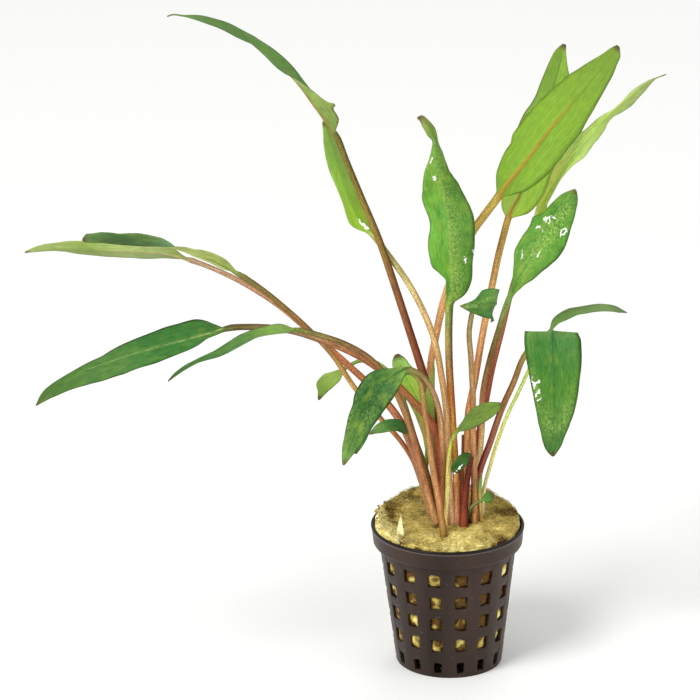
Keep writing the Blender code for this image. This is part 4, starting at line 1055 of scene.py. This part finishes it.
grow_leaf(
    "leaf_small_folded", "leaf_dark", "waxy", foot=(8.5, -5.5), radii=(1.2, 0.7),
    stalk=[(8.5, -2.9, 66.4), (7.9, -4.2, 81.4), (7.8, -4.9, 96.2), (7, -5.6, 110.8), (6.5, -6.5, 123.6),
        (8.1, -6.5, 129.6), (12.1, -6.9, 131.6)],
    blade=[(14.8, -8.7, 132, 0.9, 0, 5), (14.4, -9.3, 132.4, 6.5, 4.9, -2, 8),
        (13.3, -10.1, 132.8, 6.4, 4.9, -4, 8), (11.1, -11.6, 132.8, 5, 4.7, 0, 10),
        (9.7, -12.1, 132.7, 4.1, 3.7), (8.3, -12.4, 132.6, 3.1, 2.5), (7, -12.6, 132.6, 2.3, 1.8, 0, 9),
        (5.6, -12.7, 132.6, 1.6, 1.2, 0, 8), (4.3, -12.8, 132.7, 0.9, 0.7, 0, 4), (3, -13, 132.8, 0.3, 0, 0)],
    side_light=20, stalk_tints=[(175, 119, 70), (193, 133, 87), (185, 136, 87), (166, 134, 88), (113, 123, 63)],
    upper=[(105, 139, 71), (77, 124, 55), (65, 112, 51), (68, 113, 48), (120, 134, 79)],
    lower=[(121, 143, 76)], rib=[(76, 116, 58)], lit_halves=(1.02, 1.12), waves=(0.5, 1.5),
    mottles=[(0.75, 0.0, 3.5, 0.8, 1.0), (0.3, 0.3, 2.5, 0.7, 0.9), (0.1, -0.9, 0.8, 1.2, 1.6)],
)

# The long leaves that arch out to the left: two pale ones one over the other, the big dark one beneath them
# with its pale midrib, and a thin one that twists in front of it.
grow_leaf(
    "leaf_pale_left", "leaf_pale", "pale", foot=(-6, 2.5), radii=(1.5, 0.75),
    stalk=[(-11.5, 0.7, 74), (-16.7, 1.7, 86.3), (-23.3, 3.3, 94.7), (-32.2, 4.7, 103.2), (-45.6, 8, 114.6),
        (-57.2, 11.1, 123.9), (-70.5, 14.2, 131.6), (-80.4, 16.6, 135.6)],
    blade=[(-88.5, 18.6, 138, 1.2, 118, 5), (-92.9, 20.1, 138.8, 4.4, 3.2), (-96.6, 21.3, 139.1, 4.5, 4.3),
        (-100.3, 22.3, 139, 4.6, 5.1), (-104.1, 23.4, 138.8, 4.6, 5.5), (-108.1, 24.7, 138.6, 4.7, 5.4),
        (-112.1, 26.1, 138.3, 4.9, 5.8), (-116.1, 27.5, 137.9, 5, 5.8), (-121.3, 29.5, 137.5, 5, 5.8),
        (-126.4, 31.5, 136.9, 4.9, 5), (-131.1, 33.5, 136.3, 3.9, 2.8, 118, 2),
        (-135.8, 35.4, 135.4, 3.4, 1.7, 118, 0), (-139.8, 36.7, 134.3, 2.4, 1), (-143.8, 38, 133.1, 0.4)],
    stalk_tints=[(199, 170, 108), (182, 123, 90), (195, 119, 80), (202, 132, 82), (182, 133, 99),
        (165, 138, 112)], upper=[(106, 143, 70), (113, 151, 77), (125, 157, 80)],
    lower=[(128, 137, 71), (162, 179, 109), (169, 189, 111), (140, 166, 76), (160, 181, 99), (164, 181, 107)],
    rib=[(183, 158, 114)], rib_reach=0.6, lit_halves=(1.09, 0.92), waves=(0.2, 1.5),
)
grow_leaf(
    "leaf_folded_left", "leaf_pale", "pale", foot=(-6, 5), radii=(0.8, 0.95),
    stalk=[(-9.3, 4.8, 62.1), (-11.9, 4.6, 70.1), (-15.9, 3.9, 77.3), (-22.8, 2.3, 86.3), (-31.4, 1.4, 97.5),
        (-40.2, 1.5, 111.1), (-47.2, 1.8, 118.9), (-53.7, 1.9, 125.2), (-62.7, 1.6, 133.2)],
    blade=[(-70.3, 0.7, 139, 1.2, 100, 5), (-74.3, 1, 141.6, 2.6, 4.4, 118, 8),
        (-76.6, 1, 142.9, 3.4, 4.1, 120, 8), (-78.9, 1.1, 144, 3.4, 3.6),
        (-83.6, 1.2, 145.5, 3.3, 2.6, 118, 8), (-86, 1.4, 146.3, 2.4, 2.6, 113, 8),
        (-88.5, 1.7, 147, 2.8, 104, 8), (-91.2, 1.9, 147.8, 3.2, 89, 8), (-93.9, 2.1, 148.5, 3.6, 74, 8),
        (-96.8, 2.4, 149.1, 4, 4.1, 67, 8), (-99.8, 2.7, 149.5, 4.4, 4.1, 64, 8),
        (-103.5, 3, 150, 4.6, 4.1, 61, 7), (-107.2, 3.4, 150.3, 4.6, 3.7, 60, 5),
        (-110.5, 3.7, 150.5, 4.6, 3), (-113.8, 4.1, 150.6, 4.6, 3.4), (-116.5, 4.3, 150.7, 4.6, 3.4),
        (-119.2, 4.6, 150.6, 4.2, 2.7, 60, 3), (-121.4, 4.9, 150.2, 2.8, 60, 0), (-122.4, 5, 149.6, 0.9)],
    stalk_tints=[(207, 126, 98), (185, 115, 72), (211, 165, 92), (140, 98, 50), (119, 112, 54)],
    upper=[(135, 152, 67), (117, 154, 74), (96, 138, 92), (64, 95, 40), (50, 83, 33), (96, 127, 65)],
    lower=[(155, 173, 81), (184, 197, 117), (150, 149, 62), (161, 157, 71)], rib=[(109, 120, 53)],
    rib_reach=0.35, lit_halves=(1.0, 1.15), waves=(0.2, 1.5), mottles=[(0.65, 1.0, 17, 0.7, 1.6)],
)
grow_leaf(
    "leaf_big_left", "leaf_dark", "waxy", foot=(-2.5, 0.5), radii=(1.4, 1.05),
    stalk=[(-2.9, 0.2, 72.4), (-6.5, -0.6, 86.9), (-12.4, -1.6, 94.5), (-18.3, -2.6, 101.3),
        (-24.4, -3.3, 107.2), (-33.5, -4.4, 113.4), (-43.4, -5.4, 118), (-53.3, -6.6, 121.7),
        (-66.6, -8.6, 123.7)],
    blade=[(-74.5, -11.5, 124.2, 1.2, 50, 5), (-78.4, -13, 123.4, 1.8, 6.3, 52, 5),
        (-81.4, -13.9, 122.8, 2.5, 9.2, 54, 5), (-84.4, -14.7, 122.2, 4.8, 10, 55, 5),
        (-88.3, -15.6, 121.4, 6.9, 10.2, 56, 5), (-92.3, -16.4, 120.6, 7.9, 10, 55, 5),
        (-96.2, -17.3, 119.8, 8.9, 9.3), (-99.7, -18.1, 119.1, 9.8, 8.6),
        (-103.2, -19, 118.4, 10.1, 8, 56, 5), (-106.7, -19.9, 117.6, 10.1, 7.2),
        (-110.4, -20.8, 116.7, 10.6, 5.9), (-114, -21.8, 115.8, 10.6, 4.4, 57, 5),
        (-117.6, -22.7, 114.8, 10.4, 3.8), (-120.9, -23.6, 113.9, 9.7, 3.1), (-124.1, -24.4, 112.8, 9.1, 2.5),
        (-127.3, -25.3, 111.3, 8, 2.4), (-130.4, -26.3, 109.4, 6.5, 2.8),
        (-132.7, -27, 107.6, 4.6, 3.1, 57, 4), (-134.8, -27.8, 105.6, 2.4, 2.7, 57, 2),
        (-137, -28.5, 103.5, 0.4, 57, 0)],
    stalk_tints=[(194, 112, 79), (180, 87, 59), (183, 118, 73), (175, 107, 69), (136, 106, 73), (93, 85, 43)],
    upper=[(59, 96, 35), (51, 107, 42), (47, 105, 42), (69, 115, 51), (71, 114, 50), (68, 108, 41),
        (71, 101, 40)], lower=[(135, 143, 77)], rib=[(165, 178, 114)], rib_reach=0.82, rib_broken=0.7,
    lit_halves=(1.1, 1.06), waves=(0.25, 1.5), mottles=[(0.45, 0.12, 18, 0.5, 0.5), (0.6, 0.5, 10, 0.5, 0.3)],
)
grow_leaf(
    "leaf_thin_left", "leaf_green", "waxy", foot=(-4.5, -6), radii=(1.3, 0.85),
    stalk=[(-7.4, -4.3, 63.3), (-10.2, -5.4, 75.1), (-12.9, -6.8, 86.1), (-16.2, -8, 96),
        (-20.4, -9.4, 105.1), (-26.9, -11.1, 113.5), (-35, -12.9, 119.3), (-43.3, -15, 123.2)],
    blade=[(-51.5, -17.6, 126.2, 1.1, 66, 5), (-55.2, -18.9, 126.8, 4, 66, 6), (-59.1, -20.3, 126.8, 4.4),
        (-62.4, -21.5, 126.5, 4.3), (-65.2, -22.5, 125.9, 4.3, 66, 8), (-67.6, -23.5, 125.1, 4.4),
        (-71.9, -25, 123.4, 3.8, 3.6, 66, 5), (-74.8, -25.9, 122.4, 4.4, 2.6),
        (-77.8, -26.9, 121.4, 4.7, 1.9), (-80.7, -27.9, 120.5, 4, 1.9),
        (-84.1, -29.3, 119.4, 2.6, 1.8, 66, 2), (-87.3, -30.8, 118.1, 2.3, 1.8, 66, 0),
        (-90.2, -32.4, 116.3, 1.2, 1.7), (-93.1, -34, 114.3, 0.4)],
    stalk_tints=[(204, 157, 105), (190, 121, 79), (181, 130, 81), (132, 93, 52), (119, 119, 57)],
    upper=[(107, 138, 49), (124, 165, 59), (91, 133, 58), (75, 122, 60), (60, 115, 50), (65, 109, 48),
        (55, 92, 44)], lower=[(126, 162, 60), (129, 157, 67)], rib=[(110, 150, 57)], rib_reach=0.7,
    waves=(0.2, 2),
)

# The leaves that droop at the front on the left: a dark mottled one over a second dark one, whose pinkish
# stalk stands at the front of the wool.
grow_leaf(
    "leaf_drooping_dark", "leaf_dark", "speckled", foot=(-2, -2.5), radii=(1.1, 0.9),
    stalk=[(-2.1, -5, 67.3), (-2.5, -6, 82.2), (-3.8, -7.6, 94.3), (-6.4, -10, 102.5), (-9.8, -12.4, 108.1)],
    blade=[(-15.3, -15, 111, 1.4, 30, 5), (-17.8, -16.2, 110.1, 3.4, 2.2, 20, 8),
        (-20.5, -17.7, 108.7, 5, 4.4, 14, 8), (-23.9, -19.4, 106, 6, 6, 6), (-25.4, -20.3, 104, 5.9, 6, 3, 6),
        (-26.8, -21.2, 101.9, 5.6, 5.8, 0, 6), (-28.3, -22.4, 99.2, 5.2, 4.8, -3, 6),
        (-29.7, -23.6, 96.4, 4.6, -5, 6), (-31.2, -24.8, 93.2, 3.9, 3.8, -3, 6),
        (-32.6, -26, 89.9, 3.1, 3, 0, 6), (-33.7, -26.9, 87.5, 2.4), (-34.7, -27.9, 85.1, 1.6, 1.5, 0, 4),
        (-35.6, -29, 82.4, 0.4, 0, 0)],
    stalk_tints=[(189, 131, 95), (164, 98, 55), (206, 153, 101), (173, 132, 91), (128, 125, 60)],
    upper=[(128, 156, 72), (52, 99, 39), (30, 81, 32), (55, 101, 44), (80, 118, 54), (110, 147, 77)],
    lower=[(135, 148, 78)], rib=[(51, 98, 44)], lit_halves=(1.08, 1.08), waves=(0.5, 1.5),
    mottles=[(0.55, -0.4, 8, 2.0, 0.5), (0.6, 0.8, 14, 1.2, 0.5)],
)
grow_leaf(
    "leaf_drooping_behind", "leaf_tan", "waxy", foot=(-2, -16), radii=(1.2, 0.9),
    stalk=[(-3.2, -12.1, 60.4), (-5.4, -11, 72.6), (-7.1, -10.2, 83.9), (-8.5, -9.9, 94.5),
        (-9.3, -9.4, 100.5), (-10, -9.5, 104.6)],
    blade=[(-12.2, -10.7, 107.7, 0.9, 20, 5), (-15.3, -12.8, 109.1, 1.3, 15, 5),
        (-18.8, -14.8, 107.2, 2, 5, 5), (-21.3, -15.9, 104.3, 2, 1, 5), (-23.4, -16.9, 100.9, 2, 0, 5),
        (-25.9, -18.3, 96.5, 2), (-28.1, -19.8, 92, 1.8), (-30.2, -21.3, 87.3, 1.5),
        (-31.9, -22.5, 84, 0.7, 0, 0)],
    stalk_tints=[(137, 107, 47), (193, 129, 82), (186, 136, 82), (177, 128, 76), (171, 162, 83)],
    upper=[(104, 172, 68), (75, 145, 59), (66, 138, 57), (71, 143, 57), (80, 150, 62)],
    lower=[(160, 208, 102)], rib=[(104, 172, 75)], waves=(0.4, 1.5),
)

# The small leaves low among the stalks: young yellow-green ones, small dark ones, one still rolled up and one
# round seedling leaf.
grow_leaf(
    "leaf_lime_behind", "leaf_lime", "thin", foot=(-7.5, 10), radii=(0.7, 0.6),
    stalk=[(-7.7, 8, 61.9)],
    blade=[(-7.3, 7.8, 73, 0.9, 0, 5), (-7.5, 7.4, 77.7, 1.3, -2, 6), (-8.1, 7.1, 82.4, 2, -5, 8),
        (-9, 6.7, 87.1, 2.6, 3, -8, 9), (-10.5, 6.4, 91.7, 3.2, 4, -10, 10),
        (-12.2, 6.2, 95.4, 3.7, 4.3, -10, 11), (-14, 5.9, 99.1, 4, 4.4, -10, 10),
        (-16.3, 5.7, 104.3, 2.9, -10, 5), (-17.3, 5.2, 107.2, 2, 0, 3), (-17.6, 5, 108.8, 0.7, 0, 0)],
    stalk_tints=[(190, 190, 90), (150, 186, 70)],
    # Its colours are painted very pale, as painted light where it stands in the other leaves' shade.
    upper=[(182, 242, 104), (252, 252, 156), (206, 252, 100), (176, 223, 90), (173, 231, 129)],
    lower=[(226, 252, 146)], rib=[(137, 195, 69)], waves=(0.5, 1.5),
    glints=[(0.89, -0.05, 0.5, 0.5), (0.89, 0.75, 0.5, 0.5)],
)
grow_leaf(
    "leaf_strip_behind", "leaf_lime", "thin", foot=(-4, 0), radii=(0.6, 0.5),
    stalk=[(-5.2, 1.9, 68.1)],
    blade=[(-5.7, 2.8, 79.7, 0.8, 0, 5), (-5.9, 2.8, 82.4, 1, 0, 6), (-6.1, 2.9, 85, 1.4, 0, 7),
        (-6.3, 2.8, 87.7, 1.6, 0, 8), (-6.4, 2.6, 90.2, 1.6), (-6.5, 2.3, 92.7, 1.6), (-6.5, 2, 95.2, 1.6),
        (-6.2, 1.6, 98.5, 1.3, 0, 7), (-5.8, 1.2, 101.7, 0.9, 0, 5), (-5.5, 1.1, 104.8, 0.6, 0, 3),
        (-5.3, 1, 107.9, 0.3, 0, 0)],
    stalk_tints=[(199, 153, 56), (150, 163, 48)], upper=[(135, 177, 85), (151, 183, 78), (160, 155, 79)],
    lower=[(176, 182, 100)],
)
grow_leaf(
    "leaf_small_dark", "leaf_dark", "waxy", foot=(-5.5, -0.5), radii=(0.8, 0.6),
    stalk=[(-7.1, -1.5, 66.5), (-9.7, -2.2, 75.2), (-11.9, -2.5, 80.4)],
    blade=[(-13.9, -2.8, 83.3, 0.8, 30, 5), (-15.3, -3.1, 84.9, 1.6, 28, 7), (-16.9, -3.3, 86.2, 2.4, 25, 10),
        (-18.7, -3.6, 86.5, 2.4, 25, 11), (-20.6, -3.9, 86.4, 2.3, 25, 10), (-24, -4.4, 85.5, 1.6, 20, 5),
        (-27, -5, 83.8, 0.3, 20, 0)],
    stalk_tints=[(182, 125, 73), (120, 136, 69)],
    upper=[(77, 106, 57), (57, 112, 58), (86, 131, 58), (98, 146, 68)], lower=[(151, 160, 78)],
    waves=(0.3, 1.5),
)
grow_leaf(
    "leaf_small_light", "leaf_lime", "thin", foot=(-4, 3.5), radii=(0.8, 0.6),
    stalk=[(-7.9, 2.6, 69.2), (-11.1, 2.3, 78.8), (-14, 2.4, 88.9), (-16.6, 3, 96.7), (-20.9, 5.5, 102.9),
        (-26, 7.4, 105.4), (-31, 8.2, 104.9)],
    blade=[(-35.6, 8.2, 102, 0.8, 0, 5), (-38.6, 8, 99.4, 2.3, 2.2, 0, 10), (-40.3, 8, 97.8, 2.3, 3.2, 0, 11),
        (-41.8, 8, 96, 2.1, 3.2, 0, 10), (-43, 8, 93.6, 1.3, 1.4, 0, 6), (-44, 8, 91.1, 0.4, 0, 0)],
    stalk_tints=[(150, 150, 70), (140, 160, 70), (120, 164, 66)],
    upper=[(158, 195, 93), (163, 196, 94), (139, 171, 73), (119, 166, 73)], lower=[(172, 195, 93)],
    waves=(0.3, 1.5),
)
grow_leaf(
    "leaf_small_front", "leaf_green", "waxy", foot=(-1, -7), radii=(0.8, 0.6),
    stalk=[(-0.6, -7.3, 66.4), (-0.2, -9.6, 77.9), (0.7, -11.8, 84.5)],
    blade=[(2.4, -13.3, 88.3, 0.8, 0, 5), (4.9, -14.3, 91, 1.5, 2.2, 0, 8), (7, -15.1, 93, 2.5, 2.9),
        (9.2, -15.8, 94.9, 3.1), (11.2, -16.3, 96.3, 3, 0, 9), (13.3, -16.8, 97.6, 2.6, 0, 8),
        (15.8, -17.5, 99, 1.5, 0, 4), (17.5, -18, 100.1, 0.4, 0, 0)],
    side_light=0, stalk_tints=[(252, 201, 134), (252, 243, 146), (218, 210, 97), (151, 160, 69)],
    upper=[(118, 142, 70), (103, 130, 55), (113, 140, 56), (112, 146, 54)], lower=[(141, 151, 86)],
    rib=[(102, 135, 50)], waves=(0.3, 1.5),
)
grow_leaf(
    "leaf_small_hook", "leaf_maroon", "waxy", foot=(5, -8.5), radii=(1.5, 0.6),
    stalk=[(5.3, -6.4, 60.6), (6.5, -6.9, 71.7)],
    blade=[(7, -8, 77.6, 0.7, 0, 5), (6, -8.9, 77.6, 1.4, 5, 8), (4.5, -9.9, 76.5, 2.1, 10, 10),
        (2.5, -10.6, 74.3, 2, 10, 8), (1.3, -11, 71.7, 0.4, 0, 0)],
    side_light=-22, stalk_tints=[(137, 65, 35), (122, 49, 33), (109, 33, 29), (118, 58, 32)],
    upper=[(44, 86, 27), (63, 98, 35), (36, 86, 22), (54, 102, 31)], lower=[(120, 142, 49)],
    glints=[(0.62, -0.45, 1.4, 0.5), (0.88, -0.3, 1.1, 0.6)],
)
grow_leaf(
    "leaf_rolled_young", "leaf_lime", "thin", foot=(11, -3.5), radii=(0.6, 0.6),
    stalk=[(10.5, -3.5, 59.4)],
    blade=[(10.4, -4, 63.2, 0.8, 0, 40), (10.6, -4.3, 66.2, 0.7), (10.9, -4.5, 69.6, 0.3, 0, 0)],
    stalk_tints=[(228, 165, 103), (189, 182, 85)], upper=[(150, 194, 90), (140, 188, 84), (130, 180, 80)],
    lower=[(160, 200, 100)],
)
grow_leaf(
    "leaf_tiny_round", "leaf_green", "thin", foot=(6.5, -4), radii=(0.6, 0.5),
    stalk=[(7.5, -7.2, 58.2), (9.8, -8.4, 60.7)],
    blade=[(11.4, -9, 61.8, 0.6, -20, 5), (12.4, -9.2, 62.3, 1.8, -20, 8), (13.5, -9.4, 62.9, 2),
        (15, -9.6, 63.7, 0.8, -20, 0)],
    stalk_tints=[(101, 110, 58), (120, 134, 72)], upper=[(62, 141, 46), (69, 136, 43), (61, 162, 47)],
    lower=[(110, 160, 51)],
)
grow_leaf(
    "stalk_stub", "leaf_maroon", "waxy", foot=(5, -5), radii=(0.5, 0.45),
    stalk=[(4.5, -4.5, 66), (4.5, -3.5, 83)],
    stalk_tints=[(179, 101, 48), (132, 69, 36), (104, 61, 30)],
)
